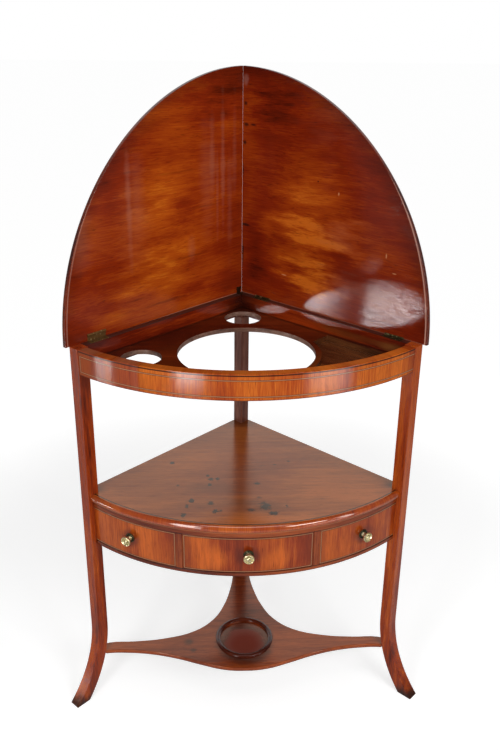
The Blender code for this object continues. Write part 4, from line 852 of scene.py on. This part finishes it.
def old_brass(name, dull, bright, worn, smooth):
    """Brass between a dull and a bright colour; smooth is the roughness of its worn places."""
    made, tree, shader = new_material(name)
    shader.inputs["Metallic"].default_value = 1.0
    place = node(tree, "ShaderNodeTexCoord", (-1100, 0))
    age = placed_group(tree, (-900, 0), TARNISH, Place=place.outputs["Object"], Worn=worn)
    metal = mix(tree, (-600, 200), age.outputs["Worn"], dull, bright)
    spots = sums(tree, "MULTIPLY", (-600, 0), age.outputs["Spots"], 0.6)
    tree.links.new(mix(tree, (-400, 100), spots, metal, (0.05, 0.045, 0.02)), shader.inputs["Base Color"])
    tree.links.new(spread(tree, (-400, -200), age.outputs["Worn"], 0.0, 1.0, smooth + 0.25, smooth),
                   shader.inputs["Roughness"])
    dent(tree, (-300, -450), shader, age.outputs["Worn"], 0.25, 0.0002)
    return made


def gallery_finish(hand):
    """Red wood, dull along its top, with painted shadow along the top, painted shade in the corner, dark where it meets
    the board, and on the right painted light towards the outer end.
    """
    left = hand == "left"
    wood = Wood(hand + "_gallery_mahogany", ALONG_LEFT if left else ALONG_RIGHT, dark=(0.055, 0.004, 0.0015),
                middle=(0.158, 0.012, 0.002), light=(0.32, 0.038, 0.005), seed=6.3 if left else 7.3, gloss=0.13,
                figure=(1.2, 1.2, 0.8), bump=0.25)
    # Painted light: a paler patch lightens the right gallery's face towards its outer end.
    if not left:
        wood.stain((0.17, 0.055, 0.012), 0.45, on_leaf(0.30, 0.776), (0.15, WIDE, 0.012), 1.0, 0.0)
    # Painted shade: a dark patch in the corner.
    wood.stain((0.024, 0.004, 0.002), 0.90, on_leaf(0.0, 0.780), (0.110, WIDE, WIDE), 0.3, 0.1)
    # Painted light: a brighter patch by the right gallery's outer hinge.
    if not left:
        wood.stain((0.26, 0.082, 0.018), 0.85, on_leaf(0.395, 0.776), (0.050, WIDE, 0.014), 0.8, 0.1)
    # Painted shadow: a dark band along the top, where the leaves stand over it.
    wood.stain((0.030, 0.005, 0.002), 0.85, on_leaf(0.0, RIM), (WIDE, WIDE, 0.0032), 0.3, 0.5)
    wood.stain((0.020, 0.004, 0.002), 0.80, on_leaf(0.0, BOARD_TOP), (WIDE, WIDE, 0.0040), 0.4, 0.2)
    return wood.dull(0.45, on_leaf(0.0, RIM), (WIDE, WIDE, 0.0030)).done()


def board_finish():
    """Dark, dull wood, a little lighter by the tray and the front, and black in the corner."""
    wood = Wood("board_mahogany", ALONG_X, (0.022, 0.003, 0.0015), (0.060, 0.0070, 0.002), (0.13, 0.020, 0.005), 2.9,
                gloss=0.18, figure=(1.2, 1.2, 0.8), bump=0.25)
    wood.stain((0.13, 0.045, 0.012), 0.60, (0.190, -0.300, 0.76), (0.10, 0.08, WIDE), 0.6)
    wood.stain((0.10, 0.026, 0.008), 0.45, (0.110, -0.400, 0.76), (0.08, 0.05, WIDE), 0.6)
    wood.stain((0.015, 0.003, 0.002), 0.55, (0.0, -0.010, 0.76), (0.05, 0.05, WIDE), 0.4)
    return wood.done()


def leg_finish(name, seed, **values):
    """Upright wood, darkened where other members meet it and at the foot."""
    wood = Wood(name, UPRIGHT, dark=(0.075, 0.007, 0.002), middle=(0.290, 0.034, 0.005), light=(0.46, 0.085, 0.011),
                seed=seed, figure=(1.3, 1.5, 1.2), sway=0.010, gloss=0.26, shine=0.32, bump=0.3, **values)
    for level, reach, amount in ((0.0, 0.022, 0.85), (0.742, 0.007, 0.40), (0.483, 0.014, 0.60), (0.375, 0.008, 0.50),
                                 (0.096, 0.012, 0.55), (0.040, 0.110, 0.38)):
        wood.stain((0.012, 0.005, 0.003), amount, (-level, 0.0, 0.0), (reach, WIDE, WIDE), 0.6, 0.1)
    return wood.done()


def post_finish():
    """The back post: the same wood, browner and darker."""
    wood = Wood("post_mahogany", UPRIGHT, dark=(0.035, 0.010, 0.006), middle=(0.125, 0.036, 0.020),
                light=(0.25, 0.095, 0.060), seed=28.3, figure=(1.3, 1.4, 1.0), gloss=0.3, shine=0.3)
    for level, reach, amount in ((0.489, 0.030, 0.75), (0.104, 0.030, 0.60), (0.745, 0.015, 0.60), (0.0, 0.015, 0.80)):
        wood.stain((0.010, 0.005, 0.004), amount, (-level, 0.0, 0.0), (reach, WIDE, WIDE), 0.6, 0.1)
    return wood.done()


frieze_wood = frieze_finish()
rail_wood = rail_finish("rail_mahogany", ACROSS_X, 5.2)
stile_wood = rail_finish("stile_mahogany", ALONG_X, 5.9)
side_rail_wood = {
    hand: Wood(hand + "_rail_mahogany", turn, (0.06, 0.008, 0.003), (0.15, 0.021, 0.005), (0.25, 0.045, 0.010),
               seed).done()
    for hand, turn, seed in (("left", ALONG_LEFT, 15.0), ("right", ALONG_RIGHT, 16.0))
}
leg_wood = {"left": leg_finish("left_leg_mahogany", 8.4), "right": leg_finish("right_leg_mahogany", 18.1)}
post_wood = post_finish()
shelf_wood = shelf_finish()
nosing_wood = nosing_finish()
board_wood = board_finish()
tray_wood = Wood("tray_mahogany", ALONG_RIGHT, (0.020, 0.005, 0.002), (0.058, 0.016, 0.005), (0.15, 0.048, 0.014), 33.0,
                 gloss=0.25, figure=(1.8, 1.0, 1.0), bump=0.3).done()
cut_edge = Wood("cut_edge_mahogany", ALONG_X, (0.05, 0.016, 0.009), (0.12, 0.055, 0.035), (0.22, 0.12, 0.085), 31.0,
                gloss=0.35, shine=0.3).done()
gallery_wood = {hand: gallery_finish(hand) for hand in SIDES}
leaf_wood = {"left": left_leaf_wood(), "right": right_leaf_wood()}
leaf_edge = Wood("leaf_edge_mahogany", ALONG_X, (0.03, 0.004, 0.002), (0.075, 0.010, 0.004), (0.14, 0.022, 0.007),
                 21.0, gloss=0.25).done()
undertier_wood = undertier_finish()
ring_wood = Wood("ring_mahogany", ALONG_X, (0.030, 0.005, 0.003), (0.075, 0.011, 0.004), (0.14, 0.024, 0.008), 14.2,
                 gloss=0.13).done()
oak = Wood("lining_oak", ACROSS_X, (0.20, 0.11, 0.05), (0.33, 0.20, 0.10), (0.44, 0.30, 0.17), 12.0, gloss=0.55,
           pores=0.7).done()
knob_brass = old_brass("knob_brass", (0.48, 0.39, 0.17), (0.93, 0.84, 0.54), 0.80, 0.25)
rose_brass = old_brass("rose_brass", (0.06, 0.055, 0.03), (0.30, 0.26, 0.14), 0.35, 0.25)
hinge_brass = old_brass("hinge_brass", (0.070, 0.055, 0.022), (0.66, 0.56, 0.27), 0.42, 0.25)
# Painted shade: a darker copy of the hinge brass for the corner hinge, which sits in the shadowed corner.
shaded_corner_brass = old_brass("shaded_corner_brass", (0.060, 0.028, 0.012), (0.17, 0.09, 0.05), 0.30, 0.35)
left_brass = old_brass("left_brass", (0.20, 0.105, 0.036), (0.62, 0.48, 0.24), 0.40, 0.42)


# Top frame


def bow_band(name, outer, inner, foot, head):
    """A full ring, sawn off beside both legs."""
    ring = disc(name, outer, foot, head)
    carve(ring, disc("hollow", inner, foot - 0.01, head + 0.01))
    for hand in SIDES:
        saw_by_wall(ring, hand, LEG_T)
    return ring


def top_frame():
    """The bowed frieze, the gallery rails, the sunk board with its holes, and the tray under it."""
    frieze = ease(bow_band("frieze", SIDE, FRIEZE_INNER, FRIEZE_FOOT, RIM), 0.0012)
    hand_in(frieze, "stand", "veneered_front", frieze_wood, "bow_frieze")
    for hand in SIDES:
        eased_copy("gallery_" + hand, "stand", "mahogany", gallery_wood[hand], 0.0006)
    board = disc("sunk_board", FRIEZE_INNER - SEAT_GAP, BOARD_FOOT, BOARD_TOP)
    for hand in SIDES:
        saw_by_wall(board, hand, BOARD_START)
        carve(board, wall_block("notch", hand, (RAIL_END, 0.6), (-0.1, LEG_T), (0.7, 0.8)))
    carve(board, disc("basin_cut", BASIN_RADIUS, 0.7, 0.8, BASIN_CENTRE, 192))
    carve(board, disc("cup_cut", CUP_RADIUS, 0.7, 0.8, BACK_CUP, 96))
    carve(board, disc("cup_cut", CUP_RADIUS, 0.7, 0.8, by_wall("left", *LEFT_CUP), 96))
    carve(board, tray_cutter())
    ease(board, 0.0011)
    hand_in(board, "stand", "mahogany", board_wood, "basin_board")
    board.data.materials.append(cut_edge)
    board.data.materials.append(tray_wood)
    for face in board.data.polygons:
        if abs(face.normal.z) < 0.9:
            face.material_index = 1 if face.center.x < 0.132 else 2
    eased_copy("soap_tray", "stand", "mahogany", tray_wood, 0.0003)
    for place in ("left", "right", "front"):
        eased_copy("board_bearer_" + place, "stand", "mahogany", board_wood, 0.0005)


def tray_cutter():
    """The cut-out of the soap tray: a ring sector between the basin and the lip, its corners rounded."""
    cutter = disc("tray_cut", TRAY_RADIUS, 0.7, 0.8)
    carve(cutter, disc("basin_side", TRAY_BASIN_RADIUS, 0.6, 0.9, BASIN_CENTRE, 192))
    saw_by_wall(cutter, "right", TRAY_WALL)
    saw(cutter, (*by_wall("right", TRAY_START, 0), 0), -along_wall("right"))
    return mould(cutter, tray_corner, 0.012, 6)


def tray_corner(point):
    """True on the four upright corners of the tray's cut-out."""
    s = (point.x - (point.y - CORNER_Y)) * sqrt(0.5)
    t = -(point.x + point.y - CORNER_Y) * sqrt(0.5)
    radius = hypot(point.x, point.y - CORNER_Y)
    basin = hypot(point.x, point.y - BASIN_CENTRE[1])
    on_line = [abs(t - TRAY_WALL), abs(s - TRAY_START), abs(radius - TRAY_RADIUS),
               abs(basin - TRAY_BASIN_RADIUS)]
    return sum(gap < 0.0004 for gap in on_line) >= 2


# Shelf and drawer tier


def middle_shelf():
    """A quadrant board with a rounded nosing, notched for the legs and the post."""
    shelf = disc("shelf_board", SHELF_RADIUS, SHELF_FOOT, SHELF_TOP)
    for hand in SIDES:
        saw_by_wall(shelf, hand, 0)
        carve(shelf, wall_block("leg_notch", hand, (RAIL_END, 0.6), (-0.1, LEG_T), (0.4, 0.6)))
    carve(shelf, wall_block("post_notch", "left", (-0.1, LEG_T), (-0.1, LEG_T), (0.4, 0.6)))

    def front(level):
        return lambda point: (
            abs(hypot(point.x, point.y - CORNER_Y) - SHELF_RADIUS) < 0.0002 and abs(point.z - level) < 0.0001
        )

    mould(shelf, front(SHELF_TOP), 0.0080, 8)
    mould(shelf, front(SHELF_FOOT), 0.0020, 3)
    ease(shelf, 0.0005)
    hand_in(shelf, "stand", "mahogany", shelf_wood, "middle_shelf")
    shelf.data.materials.append(nosing_wood)
    for face in shelf.data.polygons:
        if hypot(face.center.x, face.center.y - CORNER_Y) > NOSING_START and abs(face.normal.z) < 0.99:
            face.material_index = 1


def drawer_tier():
    """The rails, the uprights, the two dummy fronts and the drawer."""
    for hand in SIDES:
        eased_copy("tier_rail_" + hand, "stand", "mahogany", side_rail_wood[hand], 0)
    head = bow_band("top_rail", TIER_RADIUS, TIER_INNER, OPENING_HEAD, TIER_HEAD)
    hand_in(ease(head, 0.0005), "stand", "mahogany", rail_wood, "tier_top_rail")
    foot = bow_band("bottom_rail", TIER_RADIUS, TIER_INNER, TIER_FOOT, OPENING_FOOT)
    hand_in(ease(foot, 0.0008), "stand", "mahogany", rail_wood, "tier_bottom_rail")
    for hand, side in SIDES.items():
        inner = side * (STILE_AZIMUTH - STILE_HALF)
        outer = side * (STILE_AZIMUTH + STILE_HALF)
        stile = bow_band("upright_" + hand, TIER_RADIUS, TIER_INNER, OPENING_FOOT + SEAT_GAP, OPENING_HEAD - SEAT_GAP)
        saw_radially(stile, max(inner, outer), True)
        saw_radially(stile, min(inner, outer), False)
        hand_in(ease(stile, 0.0003), "stand", "mahogany", stile_wood, "stile_" + hand)
        front = bow_band("dummy_" + hand, FRONT_RADIUS, TIER_INNER, OPENING_FOOT + SEAT_GAP, OPENING_HEAD - SEAT_GAP)
        saw_radially(front, outer + side * radians(0.05), side < 0)
        limits = sorted((outer + side * radians(0.45), side * radians(42.9)))
        wood = front_wood("dummy_veneer_" + hand, limits[0], limits[1], 5 + side)
        hand_in(ease(front, 0.0004), "stand", "veneered_front", wood, "false_front_" + hand)
    front = disc("drawer_bow", FRONT_RADIUS, OPENING_FOOT + 0.0005, OPENING_HEAD - 0.0005)
    half = STILE_AZIMUTH - STILE_HALF - radians(0.065)
    saw_radially(front, half, True)
    saw_radially(front, -half, False)
    saw(front, (0, CORNER_Y - 0.4108, 0), (0, 1, 0))
    limit = half - radians(0.4)
    wood = front_wood("drawer_veneer", -limit, limit, 9)
    hand_in(ease(front, 0.0004), "drawer", "veneered_front", wood, "drawer_front")
    for part in ("side_left", "side_right", "back", "bottom"):
        eased_copy("drawer_" + part, "drawer", "drawer_lining_oak", oak, 0.0004)
    for part in ("rear_bearer", "runner_left", "runner_right", "guide_left", "guide_right",
                 "drawer_stop_left", "drawer_stop_right"):
        eased_copy(part, "stand", "drawer_lining_oak", oak, 0.0003)


# Legs and undertier


def front_leg(hand):
    """A square section pulled up to the rim, and spun outwards below."""
    centre_s = (RAIL_END + SEAT_GAP + SIDE) / 2
    middle = (*by_wall(hand, centre_s, LEG / 2), SWEEP_HEIGHT)
    bpy.ops.object.select_all(action="DESELECT")
    bpy.ops.mesh.primitive_plane_add(size=LEG, location=middle, rotation=(0, 0, WALL_ANGLE[hand]))
    leg = settle(named("square_leg_" + hand))
    pick(leg)
    bpy.ops.object.mode_set(mode="EDIT")
    bpy.ops.mesh.select_all(action="SELECT")
    turn = asin(SWEEP_HEIGHT / SWEEP_RADIUS) + radians(3)
    pivot = (*by_wall(hand, SWEEP_CENTRE, LEG / 2), SWEEP_HEIGHT)
    bpy.ops.mesh.spin(steps=36, angle=turn, center=pivot, axis=into_room(hand) * -SIDES[hand])
    bpy.ops.object.mode_set(mode="OBJECT")
    pick(leg)
    bpy.ops.object.mode_set(mode="EDIT")
    bpy.ops.mesh.select_mode(type="FACE")
    bpy.ops.mesh.select_all(action="DESELECT")
    bpy.ops.object.mode_set(mode="OBJECT")
    for face in leg.data.polygons:
        face.select = abs(face.center.z - SWEEP_HEIGHT) < 0.0001
    bpy.ops.object.mode_set(mode="EDIT")
    bpy.ops.mesh.extrude_region_move(TRANSFORM_OT_translate={"value": (0, 0, RIM - SWEEP_HEIGHT)})
    bpy.ops.mesh.select_all(action="SELECT")
    bpy.ops.mesh.remove_doubles(threshold=MERGE)
    bpy.ops.mesh.normals_make_consistent(inside=False)
    bpy.ops.object.mode_set(mode="OBJECT")
    saw(leg, (0, 0, 0), (0, 0, -1))
    ease(leg, 0.0011)
    hand_in(leg, "stand", "mahogany", leg_wood[hand], "front_leg_" + hand)


def undertier():
    """The shaped stretcher and its ring, whose solids already have their final form."""
    eased_copy("undertier", "stand", "mahogany", undertier_wood, 0)
    eased_copy("undertier_ring", "stand", "mahogany", ring_wood, 0)


# Brass


def turned(name, profile, ring=False):
    """Pull a profile of (radius, height) points out of one point and spin it round Z."""
    bpy.ops.object.select_all(action="DESELECT")
    bpy.ops.mesh.primitive_plane_add(size=1)
    obj = named(name)
    bpy.ops.object.mode_set(mode="EDIT")
    bpy.ops.mesh.select_mode(type="VERT")
    bpy.ops.mesh.select_all(action="SELECT")
    bpy.ops.mesh.merge(type="CENTER")
    last = Vector((profile[0][0], 0, profile[0][1]))
    bpy.ops.transform.translate(value=last)
    for radius, height in profile[1:]:
        point = Vector((radius, 0, height))
        bpy.ops.mesh.extrude_region_move(TRANSFORM_OT_translate={"value": point - last})
        last = point
    if ring:
        bpy.ops.mesh.extrude_region_move(
            TRANSFORM_OT_translate={"value": Vector((profile[0][0], 0, profile[0][1])) - last}
        )
    bpy.ops.mesh.select_all(action="SELECT")
    bpy.ops.mesh.remove_doubles(threshold=MERGE)
    bpy.ops.mesh.spin(steps=56, angle=2 * pi, center=(0, 0, 0), axis=(0, 0, 1))
    bpy.ops.mesh.select_all(action="SELECT")
    bpy.ops.mesh.remove_doubles(threshold=MERGE)
    bpy.ops.mesh.normals_make_consistent(inside=False)
    bpy.ops.object.mode_set(mode="OBJECT")
    return obj


KNOB_PROFILE = (
    (0, -0.0105), (0.0019, -0.0105), (0.0019, 0.0024), (0.0050, 0.0025), (0.0046, 0.0036), (0.0038, 0.0055),
    (0.0034, 0.0078), (0.0038, 0.0096), (0.0052, 0.0106), (0.0078, 0.0113), (0.0096, 0.0124), (0.01022, 0.0138),
    (0.01018, 0.0152), (0.0097, 0.0163), (0.0089, 0.0168), (0.0081, 0.0165), (0.0075, 0.0156), (0.0071, 0.0147),
    (0.0060, 0.0143), (0.0047, 0.0145), (0.0042, 0.0152), (0.0038, 0.0162), (0.0029, 0.0170), (0.0015, 0.0174),
    (0, 0.0175),
)
ROSE_PROFILE = (
    (0.0022, 0.0002), (0.0096, 0.0002), (0.0097, 0.0008), (0.0094, 0.0014), (0.0088, 0.0017), (0.0081, 0.0014),
    (0.0077, 0.0009), (0.0069, 0.0010), (0.0063, 0.0016), (0.0055, 0.0021), (0.0044, 0.0023), (0.0022, 0.0023),
)
SCREW_PROFILE = ((0, 0), (0.0022, 0), (0.0022, 0.0003), (0.0019, 0.0005), (0.0010, 0.0006), (0, 0.0006))


def stand_out(obj, place, turn):
    """Turn a spun piece from Z to where it faces, and set it in place."""
    obj.rotation_euler = turn
    obj.location = place
    return settle(obj)


def knobs():
    """Three turned knobs, each on its rose."""
    for where, side in (("left", -1), ("centre", 0), ("right", 1)):
        body = "drawer" if side == 0 else "stand"
        azimuth = side * KNOB_AZIMUTH
        place = (*plan(FRONT_RADIUS, azimuth), KNOB_HEIGHT)
        knob = stand_out(turned("turned_knob_" + where, KNOB_PROFILE), place, (radians(90), 0, azimuth))
        hand_in(knob, body, "old_brass", knob_brass, "knob_" + where)
        rose = stand_out(turned("turned_rose_" + where, ROSE_PROFILE, True), place, (radians(90), 0, azimuth))
        hand_in(rose, body, "old_brass", rose_brass, "rose_" + where)


def screw(name, place, turn, body, slot_turn):
    """A slotted screw, its head nearly level with the plate."""
    head = turned(name, SCREW_PROFILE)
    bpy.ops.object.select_all(action="DESELECT")
    bpy.ops.mesh.primitive_cube_add(size=1, location=(0, 0, 0.0006), rotation=(0, 0, slot_turn))
    slot = named("slot")
    slot.scale = (0.006, 0.0006, 0.0007)
    carve(head, settle(slot))
    hand_in(stand_out(head, place, turn), body, "old_brass", hinge_brass)


# Lid


def lid_leaf(hand):
    """One leaf: a sawn quadrant of a disc, moulded round its rim and cut for the hinges."""
    wall = WALL_ANGLE[hand]
    t = LEAF_FACE - LEAF_THICKNESS / 2
    middle = (*by_wall(hand, 0, t), LEAF_FOOT)
    bpy.ops.object.select_all(action="DESELECT")
    bpy.ops.mesh.primitive_cylinder_add(
        vertices=360, radius=LEAF_RADIUS, depth=LEAF_THICKNESS, location=middle, rotation=(radians(90), 0, wall)
    )
    leaf = settle(named("lid_" + hand))
    saw(leaf, (0, 0, LEAF_FOOT), (0, 0, -1))
    saw(leaf, (*by_wall(hand, LEAF_START, 0), 0), -along_wall(hand))

    if hand == "right":
        for heights in REBATE_HEIGHTS:
            carve(leaf, wall_block("hinge_rebate", hand, REBATE_S, REBATE_T, heights))
    else:
        for s_range in LEFT_HINGES.values():
            carve(leaf, wall_block("hinge_bed", hand, s_range, BED_T, BED_HEIGHT))

    def rim(depth):
        def chosen(point):
            s = (point - Vector((0, CORNER_Y, 0))).dot(along_wall(hand))
            t = (point - Vector((0, CORNER_Y, 0))).dot(into_room(hand))
            return abs(hypot(s, point.z - LEAF_FOOT) - LEAF_RADIUS) < 0.0002 and abs(t - depth) < 0.0002
        return chosen

    mould(leaf, rim(LEAF_FACE - LEAF_THICKNESS), 0.0035, 5)
    mould(leaf, rim(LEAF_FACE), 0.0008, 2)
    hand_in(leaf, hand + "_leaf", "veneered_front", leaf_wood[hand], "leaf_" + hand)
    leaf.data.materials.append(leaf_edge)
    for face in leaf.data.polygons:
        if abs(face.normal.dot(into_room(hand))) < 0.6:
            face.material_index = 1


def hinges():
    """Four hinges with their plates, pins, webs and screws."""
    for hand, places in (("right", ("inner", "outer")), ("left", ("corner", "outer"))):
        for where in places:
            stem = f"{hand}_{where}_hinge_"
            finish = shaded_corner_brass if where == "corner" else left_brass if hand == "left" else hinge_brass
            cutters = []
            if hand == "left":
                cutters.append(wall_block("web_cut", hand, (0, 0.5), WEB_CUT_T, WEB_CUT_HEIGHT))
                web = wall_block(stem + "web", hand, LEFT_HINGES[where], WEB_T, WEB_HEIGHT)
                hand_in(ease(web, 0.0003), "stand", "old_brass", finish)
            eased_copy(stem + "fixed", "stand", "old_brass", finish, 0, *cutters)
            eased_copy(stem + "pin", "stand", "old_brass", finish, 0)
            eased_copy(stem + "moving", hand + "_leaf", "old_brass", finish, 0)
            middle = {"outer": OUTER_HINGE, "inner": INNER_HINGE}.get(where)
            if middle is None:
                continue
            for number, step in enumerate(SCREW_STEPS):
                screw_pair(hand, where, middle + step, number)


def screw_pair(hand, where, s, number):
    """On the right, one screw into the leaf and one into the gallery's top; on the left, only the one into the
    gallery's top.
    """
    name = f"{hand}_{where}_screw_{number}"
    wall = WALL_ANGLE[hand]
    if hand == "right":
        upright = (*by_wall(hand, s, 0.0017), 0.8023)
        screw(name + "_leaf", upright, (radians(90), 0, wall + pi), "right_leaf", 0.4 + number)
        screw(name + "_top", (*by_wall(hand, s, 0.0086), RIM - 0.0004), (0, 0, wall), "stand", 1.1 + number)
    else:
        screw(name + "_top", (*by_wall(hand, s, 0.0081), RIM - 0.0004), (0, 0, wall), "stand", 0.9 + number)


# Floor, light and camera


def seen_by(tree, place, *kinds):
    """1 for the kinds of ray that are named, and 0 for the rest."""
    path = node(tree, "ShaderNodeLightPath", place)
    total = 0.0
    for number, (kind, share) in enumerate(kinds):
        part = path.outputs[f"Is {kind} Ray"]
        total = sums(tree, "MULTIPLY_ADD", (place[0] + 200, place[1] - 160 * number), part, share, total)
    return total


def floor():
    """A pale floor that keeps the stand's shadow, and is white further off."""
    bpy.ops.object.select_all(action="DESELECT")
    bpy.ops.mesh.primitive_plane_add(size=60, location=(0, 0, 0))
    ground = named("floor")
    made, tree, shader = new_material("pale_floor")
    shader.inputs["Roughness"].default_value = 0.9
    shader.inputs["Specular IOR Level"].default_value = 0.0
    shader.inputs["Emission Color"].default_value = (1, 1, 1, 1)
    place = node(tree, "ShaderNodeTexCoord", (-900, 0))
    far = vectors(tree, "LENGTH", (-700, 0), place.outputs["Object"])
    paper = spread(tree, (-500, -300), far, 1.1, 1.9, 0.55, 0.10)
    tree.links.new(paper, shader.inputs["Base Color"])
    share = spread(tree, (-500, 0), far, 0.7, 1.6, 0.68, 0.97)
    rays = seen_by(tree, (-900, 400), ("Camera", 1.0), ("Transmission", 1.0), ("Glossy", 0.15))
    tree.links.new(sums(tree, "MULTIPLY", (-200, 200), share, rays), shader.inputs["Emission Strength"])
    ground.data.materials.append(made)


def studio():
    """A dim room, white wherever the camera sees it, and white behind the stand where polish and brass mirror it."""
    world = bpy.data.worlds.new("studio")
    bpy.context.scene.world = world
    world.use_nodes = True
    tree = world.node_tree
    room = tree.nodes["Background"]
    room.inputs["Color"].default_value = (1, 1, 1, 1)
    room.inputs["Strength"].default_value = ROOM_LEVEL
    place = node(tree, "ShaderNodeTexCoord", (-900, -200))
    parts = node(tree, "ShaderNodeSeparateXYZ", (-700, -200))
    tree.links.new(place.outputs["Generated"], parts.inputs[0])
    behind = spread(tree, (-500, -200), parts.outputs["Y"], 0.35, 0.6)
    white = node(tree, "ShaderNodeBackground", (0, -200))
    white.inputs["Color"].default_value = (1, 1, 1, 1)
    white.inputs["Strength"].default_value = 1.0
    blend = node(tree, "ShaderNodeMixShader", (250, 0))
    rays = seen_by(tree, (-500, 300), ("Camera", 1.0), ("Transmission", 1.0), ("Glossy", behind))
    tree.links.new(rays, blend.inputs["Fac"])
    tree.links.new(room.outputs[0], blend.inputs[1])
    tree.links.new(white.outputs[0], blend.inputs[2])
    tree.links.new(blend.outputs[0], tree.nodes["World Output"].inputs["Surface"])
    for name, place, aim, wide, high, power in LAMPS:
        lamp = bpy.data.lights.new(name, "AREA")
        lamp.shape = "RECTANGLE"
        lamp.size = wide
        lamp.size_y = high
        lamp.energy = power
        holder = bpy.data.objects.new(name, lamp)
        bpy.context.scene.collection.objects.link(holder)
        holder.location = place
        holder.rotation_euler = (Vector(aim) - Vector(place)).to_track_quat("-Z", "Y").to_euler()


ROOM_LEVEL = 0.17
LAMPS = (
    ("key_softbox", (1.5, -2.4, 2.1), (0, -0.2, 0.8), 1.0, 1.0, 30),
    ("low_softbox", (-1.9, -0.765, 0.078), (0.3, -0.25, 0.4), 0.29, 0.085, 1.9),
    ("low_softbox_top", (-1.9, -0.765, 0.143), (0.3, -0.25, 0.4), 0.29, 0.045, 0.37),
    ("side_reflector", (-1.9, -0.398, 0.165), (0.3, -0.25, 0.4), 0.055, 0.075, 0.72),
    ("side_glow", (-1.9, -0.47, 0.165), (0.3, -0.25, 0.4), 0.09, 0.07, 0.34),
    ("corner_reflector", (-1.9, -0.215, 0.10), (0.1, -0.1, 0.4), 0.13, 0.09, 0.26),
    ("front_reflector", (-0.93, -1.96, 0.09), (0, -0.4, 0.7), 0.46, 0.34, 4.6),
    ("right_reflector", (1.25, -1.60, 0.12), (0, -0.4, 0.7), 0.74, 0.34, 2.8),
    ("left_strip", (-1.24, -2.33, 1.25), (0, -0.4, 0.6), 0.56, 1.8, 26),
    ("right_strip", (1.83, -1.57, 1.15), (0, -0.4, 0.6), 0.24, 1.4, 7),
    ("overhead_softbox", (0.0, -0.8, 3.2), (0, -0.2, 0.5), 1.5, 1.5, 16),
)


CAMERA_PLACE = (-0.0621, CORNER_Y - 1.6975, 1.3404)
CAMERA_HEADING = -0.046734
CAMERA_TILT = pi / 2 - 0.393292
CAMERA_ROLL = 0.010688
FOCAL_LENGTH = 38.903


def camera():
    """The photograph's own view of the stand."""
    lens = bpy.data.cameras.new("view")
    lens.lens = FOCAL_LENGTH
    lens.sensor_width = 36
    lens.sensor_fit = "AUTO"
    lens.shift_x = 0.00166
    lens.shift_y = -0.02214
    holder = bpy.data.objects.new("view", lens)
    bpy.context.scene.collection.objects.link(holder)
    heading = Matrix.Rotation(CAMERA_HEADING, 4, "Z")
    turn = heading @ Matrix.Rotation(CAMERA_TILT, 4, "X") @ Matrix.Rotation(CAMERA_ROLL, 4, "Z")
    holder.matrix_world = Matrix.Translation(CAMERA_PLACE) @ turn
    bpy.context.scene.camera = holder


bpy.context.scene.view_settings.view_transform = "Standard"
eased_copy("back_post", "stand", "mahogany", post_wood, 0)
front_leg("left")
front_leg("right")
top_frame()
middle_shelf()
drawer_tier()
undertier()
knobs()
for hand in SIDES:
    lid_leaf(hand)
hinges()
floor()
studio()
camera()
